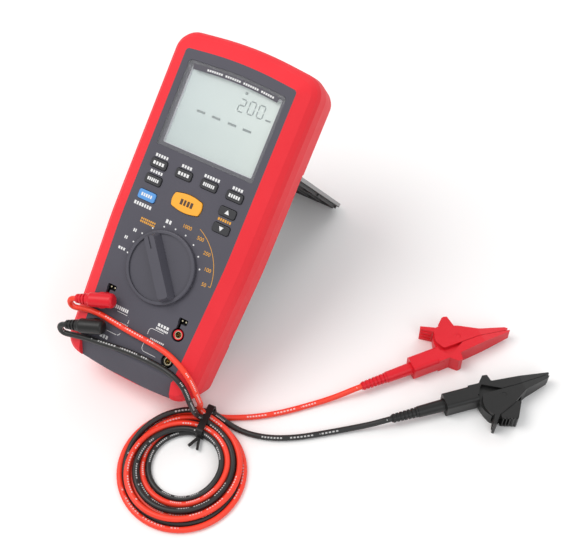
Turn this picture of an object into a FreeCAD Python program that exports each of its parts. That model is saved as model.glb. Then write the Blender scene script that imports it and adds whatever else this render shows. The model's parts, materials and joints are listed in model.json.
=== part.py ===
"""Handheld insulation resistance tester, leaning back on its tilt stand, with two test leads.

The meter is drawn flat: x to the right, y up the panel, z out of the back (back face at 0).
It is then leaned back about x until the back's lower edge and the stand's foot touch z = 0.
The leads and clips are drawn where they lie. All sizes are in millimetres.
"""
import FreeCAD
import Part
import math
import os
from FreeCAD import Vector

# ---- overall sizes -------------------------------------------------------------------------
LENGTH = 225.0
WIDTH = 103.0
PANEL_Z = 50.0          # back face to panel face
SEAM_Z = 36.0           # where the front half meets the rear half
KNOB_TOP_Z = 59.0       # back face to the top of the knob

# ---- outline of the body seen from the front -----------------------------------------------
BOTTOM_WIDTH = 94.6     # between the lower corners
WAIST_Y = 95.0          # height where the sides become parallel
BOTTOM_RISE = 5.2       # how far the lower corners stand above the lowest point
TOP_FALL = 5.4          # how far the upper corners stand below the highest point
CORNER_BOTTOM_R = 13.0
CORNER_TOP_R = 14.0
ARCH_R = 250.0          # crown radius of the top and bottom edges
SIDE_R = 400.0

# ---- walls and skins -----------------------------------------------------------------------
WALL = 2.5
SKIN = 3.2              # soft red jacket
PANEL_INSET = 12.2      # outline to panel edge
SHOULDER_INSET = 4.2    # outline to the bend of the jacket's slope
SHOULDER_Z = 45.6
BAND_Z = 28.5           # lower end of the straight side band
TAPER_INSET = 3.0
TAPER_Z = 8.0
HEEL_INSET = 4.6
HEEL_Z = 1.6
BACK_INSET = 5.9
BACK_BOTTOM_RISE = 0.6  # the back's lower edge is nearly straight, so that the meter stands
CHIN_HALF = 34.5
CREASE_Y = 17.0         # panel's lower end, where the chin slopes away
GAP = 0.3               # between pieces that move or drop in
FIT = 0.05              # radial running clearance

# ---- display -------------------------------------------------------------------------------
LENS_HALF = 34.7
LENS_Y0 = 148.2
LENS_Y1 = 204.2
LENS_ARCH = 2.0
LENS_T = 1.5
LENS_LEDGE = 2.4
LCD_HALF = 31.6
LCD_Y0 = 151.0
LCD_Y1 = 200.6
LCD_T = 2.8
LCD_TOP_Z = 46.4
LCD_FRAME_WALL = 1.8

# ---- keys ----------------------------------------------------------------------------------
KEY_W = 11.6
KEY_H = 5.8
KEY_ROUND = 1.5
KEY_PROUD = 1.0
KEY_TRAVEL = 1.0
KEY_FLANGE = 1.0
KEY_FLANGE_T = 1.2
KEY_ROW_Y = 136.6
KEY_PITCH = 18.4
SIDE_KEY_X = 27.2
UPPER_SIDE_Y = 126.0
LOWER_SIDE_Y = 115.3
TEST_W = 22.2
TEST_H = 8.6
TEST_Y = 120.7
TEST_CROWN = 2.2
MAT_T = 1.1

# ---- rotary knob ---------------------------------------------------------------------------
KNOB_Y = 77.9
KNOB_R = 23.5
KNOB_RIM_W = 2.2
KNOB_RIM_TOP = 53.2
KNOB_DISH_TOP = 51.9
KNOB_BAR_W = 8.6
HUB_R = 6.0
SHAFT_R = 3.0
KNOB_FIRST = 91.0       # first position, anticlockwise of straight up, degrees
KNOB_STEP = 17.8
KNOB_AT = 3             # position the pointer rests at, counted from the first

# ---- jacks ---------------------------------------------------------------------------------
JACK_X = 26.8
JACK_UPPER_Y = 44.0
JACK_LOWER_Y = 26.0
WELL_R = 4.4
POST_R = 3.2
BORE_R = 2.0
SLEEVE_R = 2.6
SLEEVE_TOP_Z = 49.0
SLEEVE_LENGTH = 20.0
BLOCK_DEPTH = 19.0
SLOT_Y = 52.9
SLOT_W = 6.4
SLOT_H = 3.8
SLOT_DEPTH = 6.0
CONTACT_R = 0.5
CONTACT_PITCH = 2.6

# ---- boards and what stands on them --------------------------------------------------------
BOARD_T = 1.6
BOARD_TOP_Z = 39.6
BOARD_HALF = 35.0
BOARD_Y0 = 60.5
BOARD_Y1 = 206.0
SCREW_R = 1.5
SCREW_HEAD_R = 2.9
BOSS_WALL = 2.0

# ---- batteries -----------------------------------------------------------------------------
CELL_R = 7.25
CELL_LENGTH = 50.5
CELL_PITCH = 15.2
CELL_COUNT = 4
CELLS_Y = 96.0          # middle of the row of cells
COVER_LEDGE = 3.0
COVER_T = 2.0

# ---- tilt stand ----------------------------------------------------------------------------
STAND_HINGE_Y = 160.0
STAND_HINGE_Z = 3.2
STAND_BARREL_R = 3.0
STAND_HALF = 46.0
STAND_T = 2.6
STAND_RIB = 2.0
STAND_REACH = 114.4     # hinge axis to the middle of the foot
FOOT_R = 2.5
STAND_OPEN = 84.5       # degrees from folded to its stop
STAND_RECESS = 5.6
STAND_PIN_R = 1.3
STAND_PIN_LENGTH = 16.0

# ---- test leads ----------------------------------------------------------------------------
LEAD_D = 3.8
PLUG_TURN = 200.0       # direction of the plug's boot on the panel, degrees
PLUG_BACK = 9.0
PLUG_FRONT = 9.0
PLUG_REACH = 17.5
PLUG_R = 4.7
PLUG_AXIS_Z = 57.0
SHROUD_R = 4.1
SHROUD_BORE_R = 3.45
SHROUD_LENGTH = 13.0
PIN_LENGTH = 18.0
BOOT_END_R = 2.9

# ---- crocodile clips, drawn along +x with the pivot at the origin, lying on one side --------
CLIP_T = 13.0
CHEEK_T = 2.4
CLIP_BACK = 38.0        # pivot to the open end of the handle
HANDLE_HALF = 6.0
HANDLE_V = -7.0         # middle of the handle, from the pivot
HANDLE_LENGTH = 22.0
DRUM_R = 16.6
CLIP_PIN_R = 1.9
CLIP_HUB_R = 7.0
CHEEK_SWING_R = 15.9    # room round the pivot for the cheeks
LUG_RIBS = 5
SPRING_R = 5.1
SPRING_WIRE_R = 0.6
LEAD_END_R = 4.4
LEAD_END_IN = 12.0      # how far the lead's end goes into the handle
LEAD_END_OUT = 36.0     # how far its strain relief reaches behind the handle
RIBS = 7

RED_CLIP = (170.4, 36.4, 51.9, 1)       # pivot x, pivot y, direction of the tip, lever side
BLACK_CLIP = (215.0, 10.1, 45.6, -1)
RED_LUG = [(-6.5, 5.0), (-7.6, 13.4), (-2.2, 18.2), (0.6, 17.4), (1.8, 7.5)]
BLACK_LUG = [(-6.0, 5.0), (-7.3, 14.8), (2.9, 18.2), (9.7, 6.7)]
RED_GUARD = [(-20.8, 15.2), (-13.0, 9.4), (-8.6, 10.8), (-19.8, 17.0)]
BLACK_GUARD = [(-14.2, 17.6), (-9.5, 9.0), (-5.5, 10.0), (-7.5, 12.5), (-13.0, 18.6)]

# ---- where the coil lies, and the leads' routes --------------------------------------------
COIL_X = 58.6
COIL_Y = -132.4
COIL_R = 42.0
COIL_HOLE_R = 23.0
COIL_HOLE_SHIFT = 4.5
COIL_H = 9.0
TIE_ANGLE = 97.0        # where the tie is round the coil, degrees
TIE_W = 4.6
TIE_T = 1.2
TIE_TAIL = 9.0

# Points of each free stretch. Those over the panel are drawn with the flat meter, the rest
# where they lie.
RED_PANEL_ROUTE = [
    (-46.35, 36.9, 57.0), (-48.05, 34.6, 55.5), (-47.5, 32.1, 53.4), (-45.1, 30.9, 51.5),
    (-39.0, 33.1, 52.0), (-29.5, 34.6, 52.3), (-17.0, 34.0, 52.3), (-3.0, 32.8, 52.3),
    (11.0, 32.5, 52.3), (24.0, 31.6, 52.5), (34.0, 28.8, 52.8), (42.0, 24.8, 52.1),
    (48.2, 20.2, 50.5), (52.0, 14.2, 46.5), (53.6, 9.1, 39.6), (52.7, 5.5, 30.4),
]
RED_DROP = [(50.6, -94.8, 15.5), (49.3, -94.0, 9.0)]
BLACK_PANEL_ROUTE = [
    (-46.35, 18.8, 57.0), (-48.05, 16.5, 55.5), (-47.5, 14.1, 53.3), (-45.1, 12.9, 51.5),
    (-39.0, 14.4, 51.6), (-29.5, 16.6, 52.4), (-17.0, 18.4, 52.4), (-3.0, 20.5, 52.4),
    (9.0, 21.4, 52.3), (21.0, 21.5, 52.2), (31.5, 20.8, 52.3), (39.3, 18.7, 52.4),
    (45.2, 15.0, 51.0), (48.9, 9.3, 47.4), (51.0, 3.9, 41.1), (51.8, -0.1, 33.5),
]
BLACK_DROP = [(50.9, -101.2, 15.0), (49.6, -100.0, 9.0)]
RED_CLIP_ROUTE = [
    (61.0, -90.4, 4.6), (69.5, -84.0, 2.8), (80.5, -76.9, 2.0), (92.0, -67.4, 2.1),
    (103.0, -56.0, 2.0), (112.5, -45.8, 2.2), (120.5, -37.4, 4.0), (126.0, -31.3, 6.1),
]
BLACK_CLIP_ROUTE = [
    (66.5, -91.6, 5.0), (75.5, -91.3, 3.0), (86.0, -89.6, 2.0), (98.5, -84.9, 2.1),
    (111.5, -76.7, 2.0), (124.0, -66.4, 2.1), (137.0, -55.4, 2.4), (147.5, -47.3, 4.2),
    (153.9, -42.0, 6.1),
]


# ---- drawing helpers -----------------------------------------------------------------------
def rounded_loop(points, z):
    """A closed outline through corners (x, y, radius), anticlockwise, with tangent arcs."""
    count = len(points)
    starts = []
    ends = []
    mids = []
    for i in range(count):
        x, y, radius = points[i]
        here = Vector(x, y, z)
        before = Vector(points[i - 1][0], points[i - 1][1], z)
        after = Vector(points[(i + 1) % count][0], points[(i + 1) % count][1], z)
        back = (before - here).normalize()
        on = (after - here).normalize()
        half = back.getAngle(on) / 2.0
        reach = radius / math.tan(half) if radius > 0 else 0.0
        starts.append(here + back * reach)
        ends.append(here + on * reach)
        middle = (back + on)
        if radius > 0:
            middle.normalize()
            mids.append(here + middle * (radius / math.sin(half) - radius))
        else:
            mids.append(None)
    edges = []
    for i in range(count):
        if mids[i] is not None:
            edges.append(Part.Arc(starts[i], mids[i], ends[i]).toShape())
        nxt = starts[(i + 1) % count]
        if ends[i].distanceToPoint(nxt) > 1e-6:
            edges.append(Part.LineSegment(ends[i], nxt).toShape())
    return Part.Wire(edges)


def prism(points, z0, z1):
    """A straight block on an outline, from z0 up to z1."""
    face = Part.Face(rounded_loop(points, z0))
    return face.extrude(Vector(0, 0, z1 - z0))


def block(x0, x1, y0, y1, z0, z1):
    return Part.makeBox(x1 - x0, y1 - y0, z1 - z0, Vector(x0, y0, z0))


def post(x, y, radius, z0, z1):
    return Part.makeCylinder(radius, z1 - z0, Vector(x, y, z0), Vector(0, 0, 1))


def tube(x, y, outer, inner, z0, z1):
    return post(x, y, outer, z0, z1).cut(post(x, y, inner, z0 - 1, z1 + 1))


def rectangle(x, y, width, height, radius):
    """Corners of a rounded rectangle round (x, y)."""
    hw = width / 2.0
    hh = height / 2.0
    corners = [(-hw, -hh), (hw, -hh), (hw, hh), (-hw, hh)]
    return [(x + cx, y + cy, radius) for cx, cy in corners]


def join(shapes):
    """One solid, or a group of separate solids, out of several shapes."""
    whole = shapes[0]
    if len(shapes) > 1:
        whole = whole.fuse(shapes[1:])
    return whole.removeSplitter()


def group(shapes):
    return Part.makeCompound(shapes)


# ---- the body's outline --------------------------------------------------------------------
def outline(inset, bottom_rise=BOTTOM_RISE, bottom_shift=0.0):
    """Corners of the body's outline, drawn in by inset."""
    low_x = BOTTOM_WIDTH / 2.0 - inset
    wide_x = WIDTH / 2.0 - inset
    low_slope = math.atan(2.0 * bottom_rise / BOTTOM_WIDTH)
    top_slope = math.atan(2.0 * TOP_FALL / WIDTH)
    bottom = inset + bottom_shift - ARCH_R * (1 / math.cos(low_slope) - 1)
    top = LENGTH - inset + ARCH_R * (1 / math.cos(top_slope) - 1)
    low_r = max(CORNER_BOTTOM_R - inset, WALL)
    top_r = max(CORNER_TOP_R - inset, WALL)
    right = [(0.0, bottom, ARCH_R)]
    right.append((low_x, bottom + low_x * math.tan(low_slope), low_r))
    right.append((wide_x, WAIST_Y, SIDE_R))
    right.append((wide_x, top - wide_x * math.tan(top_slope), top_r))
    right.append((0.0, top, ARCH_R))
    left = [(-x, y, radius) for x, y, radius in reversed(right[1:-1])]
    return right + left


def shell_loft(stations):
    """A closed solid through outlines at (inset, z, rise of the lower corners, shift)."""
    wires = []
    for inset, z, rise, shift in stations:
        wires.append(rounded_loop(outline(inset, rise, shift), z))
    return Part.makeLoft(wires, True, True)


def front_profile(extra=0.0):
    return [
        (extra, SEAM_Z, BOTTOM_RISE, 0.0),
        (extra, SEAM_Z + 3.0, BOTTOM_RISE, 0.0),
        (extra + SHOULDER_INSET / 3.0, SHOULDER_Z - 3.2, BOTTOM_RISE, 0.0),
        (extra + SHOULDER_INSET, SHOULDER_Z, BOTTOM_RISE, 0.0),
        (extra + PANEL_INSET, PANEL_Z, BOTTOM_RISE, 0.0),
    ]


def rear_profile(extra=0.0, lift=0.0):
    """Stations of the rear half; its lower edge straightens towards the back."""
    half = (BOTTOM_RISE + BACK_BOTTOM_RISE) / 2.0
    return [
        (extra + BACK_INSET, lift, BACK_BOTTOM_RISE, 0.0),
        (extra + HEEL_INSET, lift + HEEL_Z, BACK_BOTTOM_RISE, 0.0),
        (extra + TAPER_INSET, TAPER_Z, half, 0.0),
        (extra, BAND_Z, BOTTOM_RISE, 0.0),
        (extra, SEAM_Z, BOTTOM_RISE, 0.0),
    ]


# ---- front half ----------------------------------------------------------------------------
def chin_wedge():
    """What the sloping chin takes off the front, in the middle of the lower end."""
    points = [
        Vector(-CHIN_HALF, CREASE_Y, PANEL_Z),
        Vector(-CHIN_HALF, 0.3, SEAM_Z),
        Vector(-CHIN_HALF, -20.0, SEAM_Z),
        Vector(-CHIN_HALF, -20.0, PANEL_Z + 10.0),
        Vector(-CHIN_HALF, CREASE_Y, PANEL_Z + 10.0),
    ]
    face = Part.Face(Part.makePolygon(points + [points[0]]))
    return face.extrude(Vector(2 * CHIN_HALF, 0, 0))


def front_core():
    """The hard front half without its cavity: the panel, its rim and the chin."""
    core = Part.makeLoft([
        rounded_loop(outline(SKIN), SEAM_Z),
        rounded_loop(outline(PANEL_INSET), PANEL_Z),
    ], True, True)
    chin = shell_loft(front_profile())
    chin = chin.common(block(-CHIN_HALF, CHIN_HALF, -5, CREASE_Y + 12.0, SEAM_Z, PANEL_Z))
    return core.fuse(chin).cut(chin_wedge())


def lens_outline(grow=0.0):
    half = LENS_HALF + grow
    return [
        (-half, LENS_Y0 - grow, 1.0),
        (half, LENS_Y0 - grow, 1.0),
        (half, LENS_Y1 + grow, 3.0),
        (0.0, LENS_Y1 + LENS_ARCH + grow, 150.0),
        (-half, LENS_Y1 + grow, 3.0),
    ]


def lens_hole_outline():
    half = LENS_HALF - LENS_LEDGE
    top = LENS_Y1 - LENS_LEDGE
    return rectangle(0, (LENS_Y0 + LENS_LEDGE + top) / 2.0, 2 * half,
                     top - LENS_Y0 - LENS_LEDGE, 1.0)


KEYS = {
    "save_key": (-1.5 * KEY_PITCH, KEY_ROW_Y, KEY_W, KEY_H),
    "compare_key": (-0.5 * KEY_PITCH, KEY_ROW_Y, KEY_W, KEY_H),
    "ratio_key": (0.5 * KEY_PITCH, KEY_ROW_Y, KEY_W, KEY_H),
    "timer_key": (1.5 * KEY_PITCH, KEY_ROW_Y, KEY_W, KEY_H),
    "recall_key": (-SIDE_KEY_X, UPPER_SIDE_Y, KEY_W, KEY_H),
    "function_key": (-SIDE_KEY_X, LOWER_SIDE_Y, KEY_W + 0.8, KEY_H + 0.4),
    "up_key": (SIDE_KEY_X, UPPER_SIDE_Y, KEY_W, KEY_H),
    "down_key": (SIDE_KEY_X, LOWER_SIDE_Y, KEY_W, KEY_H),
    "test_key": (0.0, TEST_Y, TEST_W, TEST_H),
}

JACKS = {
    "continuity": (-JACK_X, JACK_UPPER_Y),
    "common": (-JACK_X, JACK_LOWER_Y),
    "voltage": (JACK_X, JACK_UPPER_Y),
    "guard": (JACK_X, JACK_LOWER_Y),
}

CASE_SCREWS = [(-12.0, 30.0), (12.0, 30.0), (-20.0, LENGTH - 13.5), (20.0, LENGTH - 13.5)]
BOARD_SCREWS = [(-31.0, 64.5), (31.0, 64.5), (-31.0, 145.0), (31.0, 145.0)]


def key_outline(name, grow=0.0):
    x, y, width, height = KEYS[name]
    if name == "test_key":
        waist = height / 2.0 + grow
        side = width / 2.0 + grow
        return [
            (x - side + 1.4, y - waist, 1.6),
            (x, y - waist - TEST_CROWN, 26.0),
            (x + side - 1.4, y - waist, 1.6),
            (x + side, y, 8.0),
            (x + side - 1.4, y + waist, 1.6),
            (x, y + waist + TEST_CROWN, 26.0),
            (x - side + 1.4, y + waist, 1.6),
            (x - side, y, 8.0),
        ]
    return rectangle(x, y, width + 2 * grow, height + 2 * grow, KEY_ROUND + grow)


def slot_outlines(side):
    """The remote probe's keyed socket beside an upper jack: a slot and its narrow neck."""
    x = side * JACK_X
    slot = rectangle(x, SLOT_Y, SLOT_W, SLOT_H, 0.8)
    neck = rectangle(x - 1.6, (SLOT_Y + JACK_UPPER_Y) / 2.0, 2.4, SLOT_Y - JACK_UPPER_Y, 0.3)
    return slot, neck


def front_case():
    cavity = Part.makeLoft([
        rounded_loop(outline(SKIN + WALL), SEAM_Z),
        rounded_loop(outline(PANEL_INSET + WALL, BOTTOM_RISE, CREASE_Y - PANEL_INSET + 0.6),
                     PANEL_Z - WALL),
    ], True, True)
    case = front_core().cut(cavity)
    bosses = []
    for x, y in CASE_SCREWS:
        bosses.append(post(x, y, SCREW_R + BOSS_WALL, SEAM_Z + 0.2, PANEL_Z - WALL))
    for x, y in BOARD_SCREWS:
        bosses.append(post(x, y, SCREW_R + BOSS_WALL, BOARD_TOP_Z, PANEL_Z - WALL))
    case = case.fuse(bosses)
    cuts = []
    for x, y in CASE_SCREWS:
        cuts.append(post(x, y, SCREW_R, SEAM_Z - 1, PANEL_Z - WALL - 3.0))
    for x, y in BOARD_SCREWS:
        cuts.append(post(x, y, SCREW_R, BOARD_TOP_Z - 1, PANEL_Z - WALL - 2.0))
    cuts.append(prism(lens_outline(0.15), PANEL_Z - LENS_T, PANEL_Z + 1))
    cuts.append(prism(lens_hole_outline(), PANEL_Z - WALL - 1, PANEL_Z))
    for name in KEYS:
        cuts.append(prism(key_outline(name, GAP), PANEL_Z - WALL - 1, PANEL_Z + 1))
    cuts.append(post(0, KNOB_Y, HUB_R + GAP, PANEL_Z - WALL - 1, PANEL_Z + 1))
    for x, y in JACKS.values():
        cuts.append(post(x, y, WELL_R, PANEL_Z - WALL - 1, PANEL_Z + 1))
    for side in (-1, 1):
        for shape in slot_outlines(side):
            cuts.append(prism(shape, PANEL_Z - WALL - 1, PANEL_Z + 1))
    return case.cut(cuts)


def front_jacket():
    return shell_loft(front_profile()).cut(front_core()).cut(chin_wedge())


def display_window():
    return prism(lens_outline(), PANEL_Z - LENS_T, PANEL_Z - 0.1)


def lcd_panel():
    middle = (LCD_Y0 + LCD_Y1) / 2.0
    points = rectangle(0, middle, 2 * LCD_HALF, LCD_Y1 - LCD_Y0, 0.6)
    return prism(points, LCD_TOP_Z - LCD_T, LCD_TOP_Z)


def lcd_frame():
    """Moulded tray on the board that holds the display glass."""
    middle = (LCD_Y0 + LCD_Y1) / 2.0
    width = 2 * LCD_HALF
    height = LCD_Y1 - LCD_Y0
    wall = 2 * LCD_FRAME_WALL
    tray = prism(rectangle(0, middle, width + wall, height + wall, 1.5),
                 BOARD_TOP_Z, LCD_TOP_Z + 0.6)
    seat = prism(rectangle(0, middle, width, height, 0.6), LCD_TOP_Z - LCD_T, PANEL_Z)
    hollow = prism(rectangle(0, middle, width - wall, height - wall, 0.6),
                   BOARD_TOP_Z + 1.2, PANEL_Z)
    return tray.cut([seat, hollow])


def key(name):
    """A keycap with a softly crowned top and a flange that keeps it under the panel."""
    top = PANEL_Z + KEY_PROUD
    floor = PANEL_Z - WALL - GAP - KEY_FLANGE_T
    cap = prism(key_outline(name), floor, top)
    upper = [e for e in cap.Edges if min(v.Z for v in e.Vertexes) > top - 0.01]
    cap = cap.makeFillet(0.45, upper)
    flange = prism(key_outline(name, KEY_FLANGE), floor, floor + KEY_FLANGE_T)
    return join([cap, flange])


def keypad_mat():
    """Silicone mat under the keys, with a raised dome below each."""
    top = PANEL_Z - WALL - GAP - KEY_FLANGE_T - KEY_TRAVEL - 0.1
    low_y = LOWER_SIDE_Y - 6.0
    high_y = KEY_ROW_Y + 4.2
    half = 1.5 * KEY_PITCH + 6.0
    sheet = prism(rectangle(0, (low_y + high_y) / 2.0, 2 * half, high_y - low_y, 2.0),
                  top - MAT_T, top)
    skirts = []
    for x, y, width, height in KEYS.values():
        skirts.append(post(x, y, height / 3.0, top - MAT_T - 2.0, top - MAT_T))
    return join([sheet] + skirts)


# ---- rotary switch -------------------------------------------------------------------------
def pointer_angle():
    """The knob's pointer, anticlockwise of straight up, where it rests."""
    return KNOB_FIRST - KNOB_STEP * KNOB_AT


def knob_bar(width, top):
    """The grip across the knob, drawn pointing up."""
    reach = KNOB_R - KNOB_RIM_W + 0.6
    foot = prism(rectangle(0, KNOB_Y, width + 2.4, 2 * reach, 2.0), KNOB_DISH_TOP - 0.6,
                 KNOB_DISH_TOP + 0.1)
    crest = rounded_loop(rectangle(0, KNOB_Y, width - 1.8, 2 * reach - 3.6, 2.0), top)
    base = rounded_loop(rectangle(0, KNOB_Y, width + 2.4, 2 * reach, 2.0), KNOB_DISH_TOP)
    return foot.fuse(Part.makeLoft([base, crest], True, True))


def turned(shape, angle):
    """A copy turned about the knob's axis."""
    shape = shape.copy()
    shape.rotate(Vector(0, KNOB_Y, 0), Vector(0, 0, 1), angle)
    return shape


def rotary_knob():
    base_z = PANEL_Z + 0.4
    disc = post(0, KNOB_Y, KNOB_R, base_z, KNOB_RIM_TOP)
    rim_edges = [e for e in disc.Edges if e.BoundBox.ZMin > KNOB_RIM_TOP - 0.01]
    disc = disc.makeFillet(0.9, rim_edges)
    disc = disc.cut(post(0, KNOB_Y, KNOB_R - KNOB_RIM_W, KNOB_DISH_TOP, KNOB_RIM_TOP + 1))
    hub = post(0, KNOB_Y, HUB_R, PANEL_Z - WALL - 1.0, base_z + 0.5)
    bar = knob_bar(KNOB_BAR_W, KNOB_TOP_Z)
    whole = join([disc, hub, bar])
    groove = block(-0.5, 0.5, KNOB_Y + 12.0, KNOB_Y + KNOB_R, KNOB_TOP_Z - 0.8,
                   KNOB_TOP_Z + 1)
    whole = whole.cut(groove)
    whole = whole.cut(post(0, KNOB_Y, SHAFT_R, PANEL_Z - WALL - 2, KNOB_RIM_TOP + 2))
    return turned(whole, pointer_angle())


def selector_shaft():
    """D-shaped shaft pressed into the knob, with the wiper disc at its lower end."""
    low = BOARD_TOP_Z + 0.6
    shaft = post(0, KNOB_Y, SHAFT_R, low, KNOB_RIM_TOP + 2)
    wiper = post(0, KNOB_Y, 13.0, low, low + 1.6)
    fingers = []
    for angle in (0, 120, 240):
        finger = block(-1.2, 1.2, KNOB_Y + 6.0, KNOB_Y + 15.0, low, low + 0.8)
        fingers.append(turned(finger, angle))
    return turned(join([shaft, wiper] + fingers), pointer_angle())


def selector_housing():
    """Fixed ring round the wiper disc, on the board, with the detent notches inside."""
    low = BOARD_TOP_Z
    ring = tube(0, KNOB_Y, 18.5, 15.8, low, low + 4.4)
    lid = tube(0, KNOB_Y, 18.5, 7.0, low + 3.4, low + 4.4)
    notches = []
    for i in range(10):
        angle = KNOB_FIRST - KNOB_STEP * i
        notch = post(0, KNOB_Y + 15.9, 0.7, low - 1, low + 3.4)
        notches.append(turned(notch, angle))
    return join([ring, lid]).cut(notches)


# ---- jacks ---------------------------------------------------------------------------------
def jack_blocks():
    """Two black mouldings under the panel, each with two wells and a remote probe socket."""
    blocks = []
    top = PANEL_Z - WALL
    for side in (-1, 1):
        inner = side * (JACK_X - 7.5)
        outer = side * (JACK_X + 5.6)
        body = prism(rectangle((inner + outer) / 2.0, (20.8 + 57.0) / 2.0,
                               abs(outer - inner), 57.0 - 20.8, 4.0),
                     top - BLOCK_DEPTH, top)
        cuts = []
        for x, y in JACKS.values():
            if x * side > 0:
                cuts.append(tube(x, y, WELL_R, POST_R, top - BLOCK_DEPTH + 3.0, top + 1))
                cuts.append(post(x, y, POST_R, top - BLOCK_DEPTH + 3.0, top + 1))
                cuts.append(post(x, y, SLEEVE_R, top - BLOCK_DEPTH - 1, top + 1))
        for shape in slot_outlines(side):
            cuts.append(prism(shape, PANEL_Z - SLOT_DEPTH, top + 1))
        for pin_x in (-0.5, 0.5):
            cuts.append(post(side * JACK_X + pin_x * CONTACT_PITCH, SLOT_Y, CONTACT_R,
                             top - BLOCK_DEPTH - 1, top))
        blocks.append(body.cut(cuts))
    return group(blocks)


def jack_posts(names):
    """Coloured insulating posts that stand in the wells, round the brass sleeves."""
    posts = []
    foot = PANEL_Z - WALL - BLOCK_DEPTH + 3.0
    for name in names:
        x, y = JACKS[name]
        posts.append(tube(x, y, POST_R, SLEEVE_R, foot, PANEL_Z - 0.4))
    return group(posts)


def jack_sleeves():
    """Brass sockets, 4 mm bore, with a solder tail."""
    sleeves = []
    foot = SLEEVE_TOP_Z - SLEEVE_LENGTH
    for x, y in JACKS.values():
        sleeve = tube(x, y, SLEEVE_R, BORE_R, foot, SLEEVE_TOP_Z)
        tail = post(x, y, SLEEVE_R, foot - 2.0, foot)
        blade = block(x - 1.4, x + 1.4, y - 0.4, y + 0.4, foot - 7.0, foot - 2.0)
        sleeves.append(join([sleeve, tail, blade]))
    return group(sleeves)


def remote_contacts():
    """Two spring contact pins in each remote probe socket."""
    pins = []
    foot = PANEL_Z - WALL - BLOCK_DEPTH - 3.0
    for side in (-1, 1):
        for pin_x in (-0.5, 0.5):
            x = side * JACK_X + pin_x * CONTACT_PITCH
            pins.append(post(x, SLOT_Y, CONTACT_R, foot, PANEL_Z - 2.2))
    return group(pins)


# ---- inside --------------------------------------------------------------------------------
def main_board():
    low = BOARD_TOP_Z - BOARD_T
    middle = (BOARD_Y0 + BOARD_Y1) / 2.0
    board = prism(rectangle(0, middle, 2 * BOARD_HALF, BOARD_Y1 - BOARD_Y0, 2.0),
                  low, BOARD_TOP_Z)
    cuts = []
    for x, y in BOARD_SCREWS:
        cuts.append(post(x, y, SCREW_R, low - 1, BOARD_TOP_Z + 1))
    return board.cut(cuts)


def screw(x, y, head_z, tip_z, head_r, head_t):
    """A pan-head screw driven from the back: its head's outer face at head_z."""
    head = post(x, y, head_r, head_z, head_z + head_t)
    shank = post(x, y, SCREW_R, head_z + head_t, tip_z)
    cross = block(x - 1.5, x + 1.5, y - 0.3, y + 0.3, head_z - 1, head_z + 0.7)
    other = block(x - 0.3, x + 0.3, y - 1.5, y + 1.5, head_z - 1, head_z + 0.7)
    return join([head, shank]).cut([cross, other])


def board_screws():
    head_z = BOARD_TOP_Z - BOARD_T - 1.4
    tip_z = PANEL_Z - WALL - 2.5
    return group([screw(x, y, head_z, tip_z, 2.6, 1.4) for x, y in BOARD_SCREWS])


def high_voltage_transformer():
    top = BOARD_TOP_Z - BOARD_T
    core = block(-26.0, -6.0, 132.0, 148.0, top - 11.0, top - 1.0)
    bobbin = block(-23.0, -9.0, 129.5, 150.5, top - 9.5, top - 2.5)
    foot = block(-27.0, -5.0, 131.0, 149.0, top - 1.0, top)
    return join([core, bobbin, foot])


def buzzer():
    top = BOARD_TOP_Z - BOARD_T
    can = post(14.0, 140.0, 8.0, top - 7.0, top)
    return can.cut(post(14.0, 140.0, 1.2, top - 8.0, top - 4.0))


def fuse():
    """Cartridge fuse, 6.3 x 32 mm, glass body and two metal caps in one piece."""
    z = BOARD_TOP_Z - BOARD_T - 5.2
    glass = Part.makeCylinder(2.9, 20.0, Vector(-10.0, 66.5, z), Vector(1, 0, 0))
    left = Part.makeCylinder(3.15, 6.5, Vector(-16.0, 66.5, z), Vector(1, 0, 0))
    right = Part.makeCylinder(3.15, 6.5, Vector(9.5, 66.5, z), Vector(1, 0, 0))
    return join([glass, left, right])


def fuse_clips():
    top = BOARD_TOP_Z - BOARD_T
    z = top - 5.2
    clips = []
    for x in (-15.5, 11.5):
        cup = block(x, x + 4.0, 66.5 - 3.9, 66.5 + 3.9, z - 2.2, top)
        grip = Part.makeCylinder(3.15, 8.0, Vector(x - 2, 66.5, z), Vector(1, 0, 0))
        mouth = block(x - 1, x + 5.0, 66.5 - 2.6, 66.5 + 2.6, z - 4.0, z)
        clips.append(cup.cut([grip, mouth]))
    return group(clips)


def recess_floor():
    return STAND_RECESS


def cover_size():
    """Width and height of the battery cover."""
    return CELL_LENGTH + 8.0, CELL_COUNT * CELL_PITCH + 10.0


def cell_axis_z():
    return recess_floor() + COVER_T + GAP + 1.2 + CELL_R


def cell_rows():
    first = CELLS_Y - (CELL_COUNT - 1) * CELL_PITCH / 2.0
    return [first + i * CELL_PITCH for i in range(CELL_COUNT)]


def battery_cells():
    cells = []
    z = cell_axis_z()
    for i, y in enumerate(cell_rows()):
        way = 1 if i % 2 == 0 else -1
        start = Vector(-way * CELL_LENGTH / 2.0, y, z)
        can = Part.makeCylinder(CELL_R, CELL_LENGTH - 1.2, start, Vector(way, 0, 0))
        nub = Part.makeCylinder(2.6, 1.2, start + Vector(way * (CELL_LENGTH - 1.2), 0, 0),
                                Vector(way, 0, 0))
        cells.append(join([can, nub]))
    return group(cells)


def battery_contacts():
    """Plates at both ends of the cells, joining them in series."""
    plates = []
    z = cell_axis_z()
    rows = cell_rows()
    reach = CELL_LENGTH / 2.0
    pairs = [(1, 0, 1), (-1, 1, 2), (1, 2, 3)]
    for side, low, high in pairs:
        x0 = reach if side > 0 else -reach - 0.5
        plates.append(block(x0, x0 + 0.5, rows[low] - 5.0, rows[high] + 5.0, z - 5.0, z + 5.0))
    for y in (rows[0], rows[3]):
        plates.append(block(-reach - 0.5, -reach, y - 5.0, y + 5.0, z - 5.0, z + 5.0))
    return group(plates)


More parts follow.
